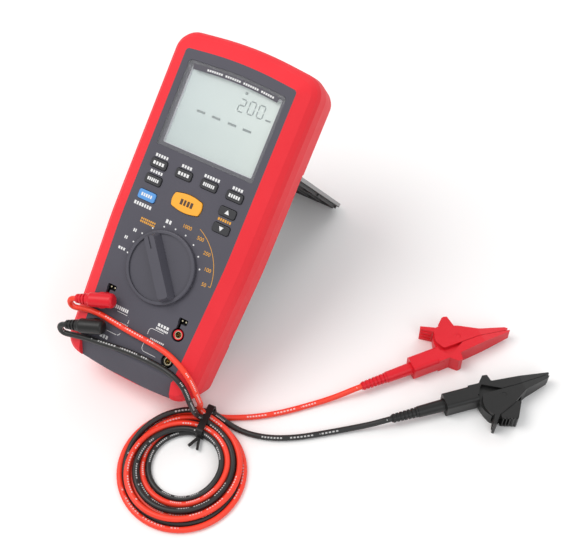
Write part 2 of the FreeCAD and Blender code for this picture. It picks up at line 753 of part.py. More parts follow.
# ---- rear half -----------------------------------------------------------------------------
def stand_bay(grow=0.0):
    """The room in the back that the folded stand fills, with a deeper trough for its barrel."""
    low_y = STAND_HINGE_Y - STAND_REACH - FOOT_R - 1.2
    high_y = STAND_HINGE_Y + STAND_BARREL_R + 0.8
    flat = block(-WIDTH, WIDTH, low_y - grow, high_y + grow, -5.0, STAND_RECESS + grow)
    trough = block(-WIDTH, WIDTH, STAND_HINGE_Y - STAND_BARREL_R - 2.6 - grow,
                   high_y + grow, -5.0, STAND_HINGE_Z + STAND_BARREL_R + 0.8 + grow)
    return flat.fuse(trough)


def rear_outer():
    return shell_loft(rear_profile())


def rear_core():
    """The hard rear half without its cavity."""
    core = shell_loft(rear_profile(SKIN, SKIN))
    window = prism(rectangle(0, LENGTH / 2.0, WIDTH - 30.0, LENGTH - 34.0, 8.0), 0.8, SKIN + 1)
    return core.fuse(window)


def stand_ears():
    """Two ears in the bay that carry the stand's hinge pins."""
    ears = []
    for side in (-1, 1):
        x0 = side * (STAND_HALF - 22.0) - 3.0
        ear = block(x0, x0 + 6.0, STAND_HINGE_Y - 2.6, STAND_HINGE_Y + STAND_BARREL_R + 0.8,
                    0.8, STAND_HINGE_Z + STAND_BARREL_R + 1.2)
        ears.append(ear)
    return ears


def stand_pin(side, radius, grow=0.0):
    x0 = side * (STAND_HALF - 22.0) - STAND_PIN_LENGTH / 2.0 - grow
    return Part.makeCylinder(radius, STAND_PIN_LENGTH + 2 * grow,
                             Vector(x0, STAND_HINGE_Y, STAND_HINGE_Z), Vector(1, 0, 0))


def rear_case():
    core = rear_core()
    bay_back = stand_bay(WALL + 0.9).common(core)
    cavity = shell_loft([
        (SKIN + WALL + TAPER_INSET, SKIN + WALL, BOTTOM_RISE, 1.0),
        (SKIN + WALL, BAND_Z, BOTTOM_RISE, 0.0),
        (SKIN + WALL, SEAM_Z, BOTTOM_RISE, 0.0),
    ])
    case = core.cut(cavity).fuse(bay_back)
    solids = []
    for x, y in CASE_SCREWS:
        solids.append(post(x, y, SCREW_HEAD_R + GAP + BOSS_WALL, SKIN + 0.5, SEAM_Z))
    width, height = cover_size()
    box_low = cell_axis_z() - CELL_R - 1.2
    wall = prism(rectangle(0, CELLS_Y, CELL_LENGTH + 5.0, height - 3.0, 1.0),
                 box_low - 1.0, cell_axis_z() + 3.0)
    inner = prism(rectangle(0, CELLS_Y, CELL_LENGTH + 1.2, height - 7.0, 0.6),
                  box_low - 3.0, cell_axis_z() + 4.0)
    solids.append(wall)
    for x, y in cover_screw_places():
        solids.append(post(x, y, SCREW_R + BOSS_WALL, box_low - 1.0, box_low + 6.0))
    case = case.fuse(solids)
    cuts = [stand_bay(), inner]
    cuts.append(prism(rectangle(0, CELLS_Y, width + 2 * GAP, height + 2 * GAP, 3.0),
                      recess_floor() - 1, recess_floor() + COVER_T + GAP))
    cuts.append(prism(rectangle(0, CELLS_Y, width - 2 * COVER_LEDGE,
                                height - 2 * COVER_LEDGE - 8.0, 1.0),
                      recess_floor() - 1, recess_floor() + COVER_T + 4.0))
    for x, y in cover_screw_places():
        cuts.append(post(x, y, SCREW_R, recess_floor(), box_low + 5.0))
    for x, y in CASE_SCREWS:
        cuts.append(post(x, y, SCREW_R + 0.2, 0, SEAM_Z + 1))
        cuts.append(post(x, y, SCREW_HEAD_R + GAP, -1, SEAM_Z - 12.0))
    case = case.cut(cuts)
    case = case.fuse(stand_ears())
    return case.cut([stand_pin(side, STAND_PIN_R) for side in (-1, 1)])


def rear_jacket():
    jacket = rear_outer().cut(rear_core())
    cuts = [stand_bay()]
    for x, y in CASE_SCREWS:
        cuts.append(post(x, y, SCREW_HEAD_R + GAP, -1, SKIN + 5.0))
    return jacket.cut(cuts)


def cover_screw_places():
    height = cover_size()[1]
    return [(0.0, CELLS_Y - height / 2.0 + 3.8), (0.0, CELLS_Y + height / 2.0 - 3.8)]


def battery_cover():
    width, height = cover_size()
    low = recess_floor() + 0.1
    cover = prism(rectangle(0, CELLS_Y, width, height, 2.8), low, low + COVER_T)
    cuts = []
    for x, y in cover_screw_places():
        cuts.append(post(x, y, SCREW_R + 0.1, low - 1, low + COVER_T + 1))
        cuts.append(post(x, y, SCREW_HEAD_R + 0.1, low - 1, low + 1.1))
    return cover.cut(cuts)


def battery_cover_screws():
    low = recess_floor() + 0.1
    tip = cell_axis_z() - CELL_R - 1.2 + 4.5
    places = cover_screw_places()
    return group([screw(x, y, low + 0.1, tip, SCREW_HEAD_R, 1.0) for x, y in places])


def case_screws():
    head = SEAM_Z - 12.0 - 2.2
    tip = PANEL_Z - WALL - 3.5
    return group([screw(x, y, head, tip, SCREW_HEAD_R, 2.2) for x, y in CASE_SCREWS])


# ---- tilt stand ----------------------------------------------------------------------------
def stand_folded():
    """The stand folded flat into its bay: plate, stiffening ribs inside, and barrel."""
    low_y = STAND_HINGE_Y - STAND_REACH
    outer_z = 0.4
    top_y = STAND_HINGE_Y - STAND_BARREL_R - 0.5
    plate_points = [
        (-STAND_HALF, low_y, 6.0),
        (STAND_HALF, low_y, 6.0),
        (STAND_HALF, top_y, 1.0),
        (-STAND_HALF, top_y, 1.0),
    ]
    plate = prism(plate_points, outer_z, outer_z + STAND_T)
    solids = [plate]
    rib_top = outer_z + STAND_T + STAND_RIB
    for i in range(9):
        x = (i - 4) * (STAND_HALF - 4.0) / 4.0
        solids.append(block(x - 0.8, x + 0.8, low_y + 5.0, top_y - 1.0,
                            outer_z + STAND_T - 0.2, rib_top))
    for y in (low_y + 5.0, (low_y + top_y) / 2.0, top_y - 2.6):
        solids.append(block(-STAND_HALF + 2.0, STAND_HALF - 2.0, y, y + 1.6,
                            outer_z + STAND_T - 0.2, rib_top))
    barrel = Part.makeCylinder(STAND_BARREL_R, 2 * STAND_HALF - 2.0,
                               Vector(-STAND_HALF + 1.0, STAND_HINGE_Y, STAND_HINGE_Z),
                               Vector(1, 0, 0))
    solids.append(barrel)
    solids.append(block(-STAND_HALF + 1.0, STAND_HALF - 1.0, top_y - 1.0, STAND_HINGE_Y,
                        outer_z, outer_z + STAND_T))
    stand = join(solids)
    cuts = []
    for side in (-1, 1):
        x0 = side * (STAND_HALF - 22.0) - 3.0 - GAP
        cuts.append(block(x0, x0 + 6.0 + 2 * GAP, STAND_HINGE_Y - STAND_BARREL_R - 3.0,
                          STAND_HINGE_Y + 6.0, -2.0, 12.0))
        cuts.append(stand_pin(side, STAND_PIN_R + FIT, 0.3))
    seat = Part.makeCylinder(FOOT_R, 2 * STAND_HALF - 11.0,
                             Vector(-STAND_HALF + 5.5, low_y, STAND_HINGE_Z - 0.3),
                             Vector(1, 0, 0))
    cuts.append(seat)
    return stand.cut(cuts)


def foot_folded():
    """Rubber bar along the stand's free edge."""
    low_y = STAND_HINGE_Y - STAND_REACH
    return Part.makeCylinder(FOOT_R, 2 * STAND_HALF - 12.0,
                             Vector(-STAND_HALF + 6.0, low_y, STAND_HINGE_Z - 0.3),
                             Vector(1, 0, 0))


def opened(shape):
    """A copy of a folded piece, swung out to the stand's stop."""
    shape = shape.copy()
    shape.rotate(Vector(0, STAND_HINGE_Y, STAND_HINGE_Z), Vector(1, 0, 0), STAND_OPEN)
    return shape


def stand_hinge_pins():
    return group([stand_pin(side, STAND_PIN_R) for side in (-1, 1)])


# ---- the lean ------------------------------------------------------------------------------
def foot_centre():
    """Middle of the open stand's foot, as (y, z)."""
    start_y = -STAND_REACH
    start_z = -0.3
    turn = math.radians(STAND_OPEN)
    y = start_y * math.cos(turn) - start_z * math.sin(turn)
    z = start_y * math.sin(turn) + start_z * math.cos(turn)
    return STAND_HINGE_Y + y, STAND_HINGE_Z + z


def heel_points():
    """Corners of the rear jacket's lower edge that can touch the table, as (y, z)."""
    return [(inset, z) for inset, z, rise, shift in rear_profile()[:3]]


def lean_angle():
    """Panel's angle above the table when the heel and the foot both touch it, in degrees."""
    foot_y, foot_z = foot_centre()
    best = None
    for y, z in heel_points():
        dy = foot_y - y
        dz = foot_z - z
        angle = math.asin(FOOT_R / math.hypot(dy, dz)) - math.atan2(dz, dy)
        heights = [math.sin(angle) * py + math.cos(angle) * pz for py, pz in heel_points()]
        here = math.sin(angle) * y + math.cos(angle) * z
        if min(heights) > here - 1e-6:
            best = math.degrees(angle)
    return best


LEAN = lean_angle()


def leaned(shape):
    """A copy of a meter piece, leaned back."""
    shape = shape.copy()
    shape.rotate(Vector(0, 0, 0), Vector(1, 0, 0), LEAN)
    return shape


def leaned_point(x, y, z):
    turn = math.radians(LEAN)
    return Vector(x, y * math.cos(turn) - z * math.sin(turn),
                  y * math.sin(turn) + z * math.cos(turn))


# ---- leads: plug, cord, lead end -----------------------------------------------------------
def plug_place(shape, jack):
    """A plug drawn along +x over the origin, turned and set over its jack."""
    x, y = JACKS[jack]
    shape = shape.copy()
    shape.rotate(Vector(0, 0, 0), Vector(0, 0, 1), PLUG_TURN)
    shape.translate(Vector(x, y, 0))
    return leaned(shape)


def along_x(radius, x0, x1, z):
    return Part.makeCylinder(radius, x1 - x0, Vector(x0, 0, z), Vector(1, 0, 0))


def plug_body(jack):
    """Right-angle plug: head, shroud round the pin, and a tapered, grooved boot."""
    z = PLUG_AXIS_Z
    head = along_x(PLUG_R, -PLUG_BACK, PLUG_FRONT, z)
    ends = [e for e in head.Edges if e.BoundBox.XLength < 0.01]
    head = head.makeFillet(2.2, ends)
    low = PANEL_Z + GAP
    barrel = post(0, 0, PLUG_R + 0.5, low, z)
    shroud = tube(0, 0, SHROUD_R, SHROUD_BORE_R, low - SHROUD_LENGTH, low + 0.5)
    boot = Part.makeCone(PLUG_R - 0.7, BOOT_END_R, PLUG_REACH - PLUG_FRONT + 1.0,
                         Vector(PLUG_FRONT - 1.0, 0, z), Vector(1, 0, 0))
    body = join([head, barrel, shroud, boot])
    grooves = []
    for i in range(3):
        x = PLUG_FRONT + 1.6 + i * 2.2
        grooves.append(along_x(PLUG_R, x, x + 0.9, z).cut(along_x(2.7, x, x + 0.9, z)))
    return plug_place(body.cut(grooves), jack)


def plug_pin(jack):
    pin = post(0, 0, BORE_R - FIT, PANEL_Z + GAP + 0.5 - PIN_LENGTH, PANEL_Z + GAP + 0.5)
    tip = [e for e in pin.Edges if e.BoundBox.ZMax < PANEL_Z - PIN_LENGTH + 1.0]
    return plug_place(pin.makeFillet(0.9, tip), jack)


def plug_exit(jack):
    """Where the cord leaves the boot, before the meter is moved to the origin."""
    x, y = JACKS[jack]
    turn = math.radians(PLUG_TURN)
    return leaned_point(x + PLUG_REACH * math.cos(turn), y + PLUG_REACH * math.sin(turn),
                        PLUG_AXIS_Z)


def cord(label, points):
    """Round tube along straight runs joined by tangent arcs; reports its bends and volume."""
    points = [Vector(*p) if isinstance(p, tuple) else p for p in points]
    at = points[0]
    edges = []
    tightest = 1e9
    sharpest = 0.0
    for i in range(1, len(points) - 1):
        before = points[i - 1] - points[i]
        after = points[i + 1] - points[i]
        shorter = min(before.Length, after.Length)
        half = before.getAngle(after) / 2.0
        reach = 0.45 * shorter
        radius = reach * math.tan(half)
        back = Vector(before).normalize()
        on = Vector(after).normalize()
        start = points[i] + back * reach
        end = points[i] + on * reach
        middle = Vector(back + on).normalize()
        apex = points[i] + middle * (radius / math.sin(half) - radius)
        edges.append(Part.LineSegment(at, start).toShape())
        edges.append(Part.Arc(start, apex, end).toShape())
        at = end
        tightest = min(tightest, radius)
        sharpest = max(sharpest, 180.0 - math.degrees(2 * half))
    edges.append(Part.LineSegment(at, points[-1]).toShape())
    path = Part.Wire(edges)
    section = Part.Wire(Part.makeCircle(LEAD_D / 2.0, points[0], points[1] - points[0]))
    body = path.makePipeShell([section], True, False)
    full = path.Length * math.pi * LEAD_D ** 2 / 4.0
    print(label, "length", round(path.Length, 1), "tightest radius", round(tightest, 2),
          "sharpest turn", round(sharpest, 1), "volume share", round(body.Volume / full, 4))
    return body


def clip_place(shape, clip):
    """A clip drawn with its pivot at the origin, set where it lies."""
    x, y, angle, side = clip
    shape = shape.copy()
    if side < 0:
        shape = shape.mirror(Vector(0, 0, 0), Vector(0, 1, 0))
    shape.rotate(Vector(0, 0, 0), Vector(0, 0, 1), angle)
    shape.translate(Vector(x, y, 0))
    return shape


def clip_point(clip, u, v, z):
    x, y, angle, side = clip
    turn = math.radians(angle)
    v = v * side
    return Vector(x + u * math.cos(turn) - v * math.sin(turn),
                  y + u * math.sin(turn) + v * math.cos(turn), z)


def drum():
    """Round housing of the spring, behind the moving cheeks."""
    disc = post(0, 0, DRUM_R, CHEEK_T + GAP, CLIP_T - CHEEK_T - GAP)
    return disc.common(block(-DRUM_R - 1, -3.0, HANDLE_V - HANDLE_HALF + 1.0, 11.0, 0, CLIP_T))


def jaw_taper(shape):
    """Narrows both faces of a jaw towards its tip."""
    wedge = Part.Face(Part.makePolygon([
        Vector(15, -30, -1), Vector(42, -30, -1), Vector(42, -30, 3.2), Vector(15, -30, 0),
        Vector(15, -30, -1),
    ])).extrude(Vector(0, 60, 0))
    other = wedge.mirror(Vector(0, 0, CLIP_T / 2.0), Vector(0, 0, 1))
    return shape.cut([wedge, other])


def cheek_swing(z0, z1):
    """Room below a cheek, which its rear corner sweeps as the clip opens."""
    wedge = prism([(-16.0, -1.0, 0), (-16.0, -13.95, 0), (2.1, -4.3, 0), (8.0, -1.0, 0)], z0, z1)
    return wedge.common(post(0, 0, CHEEK_SWING_R, z0, z1))


def clip_body(clip):
    """Handle, lower jaw, spur and spring drum, moulded in one."""
    mid = CLIP_T / 2.0
    x0 = -CLIP_BACK
    handle = block(x0, x0 + HANDLE_LENGTH, HANDLE_V - HANDLE_HALF, HANDLE_V + HANDLE_HALF,
                   0, CLIP_T)
    long_edges = [e for e in handle.Edges if e.BoundBox.XLength > HANDLE_LENGTH - 1]
    handle = handle.makeFillet(2.6, long_edges)
    low = CHEEK_T + GAP
    high = CLIP_T - CHEEK_T - GAP
    jaw = prism([
        (-20.0, -12.9, 0), (-12.5, -12.7, 0), (-8.2, -17.4, 0.6), (-5.0, -17.0, 0.6),
        (-4.0, -12.0, 1.0), (35.0, -8.7, 0.8), (35.9, -7.7, 0.4), (33.3, -7.3, 0),
        (13.2, -5.0, 2.0), (-20.0, -5.0, 0),
    ], 0, CLIP_T)
    jaw = jaw_taper(jaw).cut([cheek_swing(-1, low), cheek_swing(high, CLIP_T + 1)])
    web = block(-9.0, 7.0, -8.0, 0.0, low, high)
    hub = post(0, 0, CLIP_HUB_R, low, high)
    body = join([handle, jaw, drum(), web, hub])
    socket = Part.makeCylinder(LEAD_END_R + 0.1, LEAD_END_IN + 0.5, Vector(x0 - 0.5, HANDLE_V, mid),
                               Vector(1, 0, 0))
    room = tube(0, 0, SPRING_R + 1.0, SPRING_R - 1.0, mid - 2.5, mid + 2.5)
    return clip_place(body.cut([socket, room, post(0, 0, CLIP_PIN_R, -1, CLIP_T + 1)]), clip)


def finger_guard(corners):
    """Plate that keeps the fingers off the jaws, with three ribs along its outer face."""
    plate = prism([(u, v, 0.4) for u, v in corners], 0, CLIP_T)
    start = Vector(corners[0][0], corners[0][1], 0)
    along = Vector(corners[1][0], corners[1][1], 0) - start
    ribs = []
    for z in (3.0, 6.5, 10.0):
        foot = start + Vector(0, 0, z) + along * 0.1
        ribs.append(Part.makeCylinder(0.7, along.Length * 0.7, foot, along))
    return plate.fuse(ribs)


def thumb_lug(corners):
    """Grip that the thumb presses, with ribs across its end."""
    lug = prism([(u, v, 0.8) for u, v in corners], 0.6, CLIP_T - 0.6)
    start = Vector(corners[1][0], corners[1][1], 0)
    along = Vector(corners[2][0], corners[2][1], 0) - start
    ribs = []
    for i in range(LUG_RIBS):
        at = start + along * ((i + 0.5) / LUG_RIBS)
        ribs.append(post(at.x, at.y, 0.6, 1.4, CLIP_T - 1.4))
    return lug.fuse(ribs)


def clip_lever(clip, lug, guard):
    """Upper jaw with its two cheeks, thumb lug and finger guard."""
    cheek = [
        (-12.8, -4.5, 2.0), (13.2, -4.7, 2.0), (33.3, -7.0, 0), (35.3, -6.1, 0.5),
        (33.2, -4.5, 1.0), (16.0, 0.1, 12.0), (4.0, 7.6, 10.0), (-7.0, 12.4, 2.0),
        (-12.5, 11.6, 5.0), (-15.6, 2.6, 9.0),
    ]
    cheeks = [prism(cheek, 0, CHEEK_T), prism(cheek, CLIP_T - CHEEK_T, CLIP_T)]
    jaw = prism([
        (13.2, -4.7, 0), (33.3, -7.0, 0), (35.3, -6.1, 0.5), (33.2, -4.5, 1.0),
        (16.0, 0.1, 3.0), (12.0, 2.4, 0), (12.0, -4.7, 0),
    ], 0, CLIP_T)
    grip = thumb_lug(lug).fuse(finger_guard(guard))
    grip = grip.cut(post(0, 0, DRUM_R + GAP, CHEEK_T, CLIP_T - CHEEK_T))
    lever = jaw_taper(join(cheeks + [jaw, grip]))
    return clip_place(lever.cut(post(0, 0, CLIP_PIN_R + FIT, -1, CLIP_T + 1)), clip)


def clip_pin(clip):
    return clip_place(post(0, 0, CLIP_PIN_R, 0.2, CLIP_T - 0.2), clip)


def clip_spring(clip):
    """Closed turns of the torsion spring round the pivot."""
    mid = CLIP_T / 2.0
    pitch = 2 * SPRING_WIRE_R - 0.1
    rings = []
    for i in range(4):
        z = mid + (i - 1.5) * pitch
        rings.append(Part.makeTorus(SPRING_R, SPRING_WIRE_R, Vector(0, 0, z), Vector(0, 0, 1)))
    return clip_place(join(rings), clip)


def lead_end(clip):
    """The lead's straight plug in the clip's handle, with its ribbed strain relief."""
    mid = CLIP_T / 2.0
    x0 = -CLIP_BACK
    ribbed = LEAD_END_OUT - 18.0
    solids = [
        (LEAD_END_R, LEAD_END_R, x0 - 1.0, x0 + LEAD_END_IN),
        (3.7, LEAD_END_R - 0.3, x0 - 18.0, x0 - 1.0),
        (2.4, 2.6, x0 - LEAD_END_OUT, x0 - 18.0),
    ]
    shapes = []
    for r0, r1, xa, xb in solids:
        start = Vector(xa, HANDLE_V, mid)
        if abs(r0 - r1) < 1e-6:
            shapes.append(Part.makeCylinder(r0, xb - xa, start, Vector(1, 0, 0)))
        else:
            shapes.append(Part.makeCone(r0, r1, xb - xa, start, Vector(1, 0, 0)))
    pitch = ribbed / RIBS
    for i in range(RIBS):
        start = Vector(x0 - 18.0 - (i + 0.65) * pitch, HANDLE_V, mid)
        radius = 3.4 - 0.08 * i
        shapes.append(Part.makeCylinder(radius, pitch * 0.6, start, Vector(1, 0, 0)))
    return clip_place(join(shapes), clip)


def lead_end_exit(clip):
    return clip_point(clip, -CLIP_BACK - LEAD_END_OUT, HANDLE_V, CLIP_T / 2.0)


def tie_place(shape):
    """A shape drawn across the coil's ring at angle 0, turned to the tie's place."""
    shape = shape.copy()
    shape.rotate(Vector(0, 0, 0), Vector(0, 0, 1), TIE_ANGLE)
    shape.translate(Vector(COIL_X, COIL_Y, 0))
    return shape


def tie_outer(grow):
    x0 = COIL_HOLE_R + COIL_HOLE_SHIFT - 2.6
    x1 = COIL_R + 2.6
    box = block(x0 - grow, x1 + grow, -TIE_W / 2.0, TIE_W / 2.0, TIE_T - grow,
                COIL_H + 0.6 + grow)
    edges = [e for e in box.Edges if e.BoundBox.YLength > TIE_W - 0.1]
    return box.makeFillet(2.5, edges)


def coil_tie():
    band = tie_outer(TIE_T).cut(tie_outer(0.0))
    tails = []
    for angle in (-24, 16):
        tail = block(COIL_HOLE_R + COIL_HOLE_SHIFT - 3.2 - TIE_TAIL,
                     COIL_HOLE_R + COIL_HOLE_SHIFT - 3.0, -0.8, 0.8, 2.0, 3.6)
        tail.rotate(Vector(COIL_HOLE_R + COIL_HOLE_SHIFT - 3.0, 0, 0), Vector(0, 0, 1), angle)
        tails.append(tail)
    return tie_place(join([band] + tails))


def lead_coil():
    """Outer shape of both leads' turns, gathered at the tie and fanned out opposite it."""
    turn = math.radians(TIE_ANGLE)
    hole_x = COIL_X + COIL_HOLE_SHIFT * math.cos(turn)
    hole_y = COIL_Y + COIL_HOLE_SHIFT * math.sin(turn)
    disc = post(COIL_X, COIL_Y, COIL_R, 0, COIL_H)
    ring = disc.cut(post(hole_x, hole_y, COIL_HOLE_R, -1, COIL_H + 1))
    edges = [e for e in ring.Edges if e.Length > 20 and e.BoundBox.ZLength < 0.01]
    return ring.makeFillet(2.6, edges).cut(coil_tie())


# ---- the whole tester ----------------------------------------------------------------------
def meter_pieces():
    """Every piece of the meter and its stand, leaned back but not yet moved to the origin."""
    pieces = {
        "front_case": front_case(),
        "front_jacket": front_jacket(),
        "rear_case": rear_case(),
        "rear_jacket": rear_jacket(),
        "battery_cover": battery_cover(),
        "battery_cover_screws": battery_cover_screws(),
        "case_screws": case_screws(),
        "display_window": display_window(),
        "lcd_panel": lcd_panel(),
        "lcd_frame": lcd_frame(),
        "main_board": main_board(),
        "board_screws": board_screws(),
        "high_voltage_transformer": high_voltage_transformer(),
        "buzzer": buzzer(),
        "fuse": fuse(),
        "fuse_clips": fuse_clips(),
        "battery_cells": battery_cells(),
        "battery_contacts": battery_contacts(),
        "keypad_mat": keypad_mat(),
        "rotary_knob": rotary_knob(),
        "selector_shaft": selector_shaft(),
        "selector_housing": selector_housing(),
        "jack_blocks": jack_blocks(),
        "red_jack_posts": jack_posts(["continuity", "voltage"]),
        "black_jack_posts": jack_posts(["common", "guard"]),
        "jack_sleeves": jack_sleeves(),
        "remote_contacts": remote_contacts(),
        "tilt_stand": opened(stand_folded()),
        "stand_foot": opened(foot_folded()),
        "stand_hinge_pins": stand_hinge_pins(),
    }
    for name in KEYS:
        pieces[name] = key(name)
    return {name: leaned(shape) for name, shape in pieces.items()}


def shift_to_origin(pieces):
    """Move that puts the middle of the standing meter's footprint at the origin, on z = 0."""
    box = group(list(pieces.values())).optimalBoundingBox(False, False)
    return Vector(0, -(box.YMin + box.YMax) / 2.0, -box.ZMin)


def lead_pieces(shift):
    """Both leads, each from its plug on the panel to its clip on the table."""
    leads = {}
    sets = [
        ("red", "continuity", RED_CLIP, RED_LUG, RED_GUARD, RED_PANEL_ROUTE, RED_DROP,
         RED_CLIP_ROUTE),
        ("black", "common", BLACK_CLIP, BLACK_LUG, BLACK_GUARD, BLACK_PANEL_ROUTE, BLACK_DROP,
         BLACK_CLIP_ROUTE),
    ]
    for colour, jack, clip, lug, guard, panel_route, drop, clip_route in sets:
        for name, shape in (("plug_body", plug_body(jack)), ("plug_pin", plug_pin(jack))):
            shape.translate(shift)
            leads[colour + "_" + name] = shape
        start = plug_exit(jack) + shift
        over = [leaned_point(*point) + shift for point in panel_route]
        leads[colour + "_panel_lead"] = cord(colour + " panel lead", [start] + over + drop)
        end = lead_end_exit(clip)
        leads[colour + "_clip_lead"] = cord(colour + " clip lead", clip_route + [end])
        leads[colour + "_lead_end"] = lead_end(clip)
        leads[colour + "_clip_body"] = clip_body(clip)
        leads[colour + "_clip_lever"] = clip_lever(clip, lug, guard)
        leads[colour + "_clip_pin"] = clip_pin(clip)
        leads[colour + "_clip_spring"] = clip_spring(clip)
        print(colour, "exit", start, "end", end, "pivot", clip_point(clip, 0, 0, 0))
    leads["lead_coil"] = lead_coil()
    leads["coil_tie"] = coil_tie()
    return leads


def main():
    os.makedirs("parts", exist_ok=True)
    pieces = meter_pieces()
    shift = shift_to_origin(pieces)
    for shape in pieces.values():
        shape.translate(shift)
    pieces.update(lead_pieces(shift))
    for name, shape in pieces.items():
        if not shape.isValid():
            raise ValueError(name + " is not a valid shape")
        shape.exportStep("parts/" + name + ".step")
    hinge = leaned_point(0, STAND_HINGE_Y, STAND_HINGE_Z) + shift
    knob = leaned_point(0, KNOB_Y, PANEL_Z) + shift
    print(len(pieces), "pieces; lean", LEAN, "shift", shift)
    print("stand hinge", hinge, "knob centre", knob)
    for name, (x, y) in JACKS.items():
        print("jack", name, leaned_point(x, y, SLEEVE_TOP_Z) + shift)


main()
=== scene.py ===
# %% [markdown]
# # A handheld insulation tester leaning on its stand
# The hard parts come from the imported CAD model: cases, keys, knob, jacks, stand, plugs and clips.
# This lesson adds what CAD is poor at: the soft leads and their coil, the printed markings, and a
# finish for every surface. Lengths are in metres, and most sizes are written in millimetres and
# multiplied by MM, because that is how such a tool is measured.

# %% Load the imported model
import bpy
import json
import math
from mathutils import Matrix, Vector


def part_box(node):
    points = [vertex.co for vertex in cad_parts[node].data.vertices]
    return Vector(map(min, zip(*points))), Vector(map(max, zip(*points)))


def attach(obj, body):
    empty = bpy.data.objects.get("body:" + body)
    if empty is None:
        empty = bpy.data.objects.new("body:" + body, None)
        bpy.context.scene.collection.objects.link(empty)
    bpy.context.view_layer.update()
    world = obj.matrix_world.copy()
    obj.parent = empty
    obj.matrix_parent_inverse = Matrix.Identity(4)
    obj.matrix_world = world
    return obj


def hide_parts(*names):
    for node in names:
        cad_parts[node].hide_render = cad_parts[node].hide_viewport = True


MM = 0.001
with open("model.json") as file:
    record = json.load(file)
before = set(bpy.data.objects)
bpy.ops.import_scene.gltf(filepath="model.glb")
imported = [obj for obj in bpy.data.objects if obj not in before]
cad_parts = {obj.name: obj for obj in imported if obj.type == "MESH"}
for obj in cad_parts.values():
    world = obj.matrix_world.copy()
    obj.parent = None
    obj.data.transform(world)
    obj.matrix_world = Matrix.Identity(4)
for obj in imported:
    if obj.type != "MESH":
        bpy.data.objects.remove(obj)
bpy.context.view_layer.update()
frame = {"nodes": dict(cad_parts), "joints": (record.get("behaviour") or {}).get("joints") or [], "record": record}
nodes = frame["nodes"]
joints = {joint["name"]: joint for joint in frame["joints"]}

# %% [markdown]
# The meter leans back, so its panel is a tilted plane. The knob's joint already knows that plane:
# its axis is the panel's normal. One matrix made from it carries anything drawn flat on the panel,
# x to the right and y up from the panel's lower end, to its place on the leaning meter.

# %% The panel's own axes
KNOB_Y = 77.9               # the knob's middle, from the panel's lower end
PANEL_Z = 50.0              # the panel's face, from the meter's back
knob_axis = Vector(joints["knob_turn"]["axis"])
lean = math.atan2(-knob_axis.y, knob_axis.z)
knob_centre = Vector(joints["knob_turn"]["pos_m"])
knob_on_panel = Vector((0, KNOB_Y, PANEL_Z)) * MM
panel = (Matrix.Translation(knob_centre) @ Matrix.Rotation(lean, 4, "X")
         @ Matrix.Translation(-knob_on_panel))
print("the meter leans", round(math.degrees(lean), 2), "degrees; panel centre",
      panel @ Vector((0, 0.11, 0.05)))

# %% [markdown]
# ## Camera, floor and light
# The camera looks down on the tester from its right front, with a lens a little longer than
# normal. Its three axes are given outright, as the columns of its rotation. The light is a large
# soft box above and to the left, two weaker ones to the right and behind, and a pale surrounding
# world, as in a small product studio.
#
# The view transform turns the light that reaches the camera into the colours of the picture. The
# "Standard" one passes them on as they are, so the red jacket stays a full red; a filmic transform
# would wash it out under light this bright.

# %% Camera
SENSOR_MM = 36.0
LENS_MM = 67.93
scene = bpy.context.scene
camera_data = bpy.data.cameras.new("camera")
camera_data.sensor_width = SENSOR_MM
camera_data.lens = LENS_MM
camera_data.clip_start = 0.01
camera_data.clip_end = 20.0
camera = bpy.data.objects.new("camera", camera_data)
scene.collection.objects.link(camera)
camera_axes = Matrix(((0.8700, -0.3963, 0.2934), (0.4930, 0.7101, -0.5027),
                      (-0.0091, 0.5820, 0.8132))).to_quaternion()
camera.rotation_mode = "QUATERNION"
camera.rotation_quaternion = camera_axes
camera.location = (0.2736, -0.3608, 0.6386)
scene.camera = camera
print("camera", round(camera.location.length, 3), "m from the origin")


# %% Floor, lights and world
FLOOR_SIZE = 12.0
LIGHT_TARGET = Vector((0.05, -0.05, 0.05))
WORLD_STRENGTH = 0.62


def nothing_selected():
    """Drop any selection that an earlier step left."""
    bpy.ops.object.select_all(action="DESELECT")


def soft_box(name, where, size, power, colour):
    """A round area light, size in metres and power in watts, that faces the tester."""
    light = bpy.data.lights.new(name, "AREA")
    light.shape = "DISK"
    light.size = size
    light.energy = power
    light.color = colour
    lamp = bpy.data.objects.new(name, light)
    scene.collection.objects.link(lamp)
    lamp.location = where
    lamp.rotation_mode = "QUATERNION"
    lamp.rotation_quaternion = (Vector(where) - LIGHT_TARGET).to_track_quat("Z", "Y")


nothing_selected()
bpy.ops.mesh.primitive_plane_add(size=FLOOR_SIZE, location=(0, 0, 0))
floor = bpy.context.active_object
floor.name = "floor"
soft_box("key_light", (-0.55, -0.35, 1.25), 0.9, 10.0, (1.0, 0.985, 0.96))
soft_box("fill_light", (0.9, -0.5, 0.8), 0.8, 2.6, (0.95, 0.975, 1.0))
soft_box("back_light", (0.2, 1.1, 0.9), 0.9, 3.0, (1.0, 1.0, 1.0))
world = bpy.data.worlds.new("studio")
scene.world = world
world.use_nodes = True
background = world.node_tree.nodes["Background"]
background.inputs["Color"].default_value = (1.0, 1.0, 1.0, 1)
background.inputs["Strength"].default_value = WORLD_STRENGTH
scene.view_settings.view_transform = "Standard"
print("three soft boxes and a", tuple(round(v) for v in floor.dimensions), "m floor")

# %% [markdown]
# ## A small language for materials
# Every finish here is made of shader nodes. Wiring them one by one is long to read, so one small
# class wraps a node's output: two of them can be added, multiplied or compared like numbers, and
# each such sum puts one Math node in the material. Every other node comes from `Finish.node`.


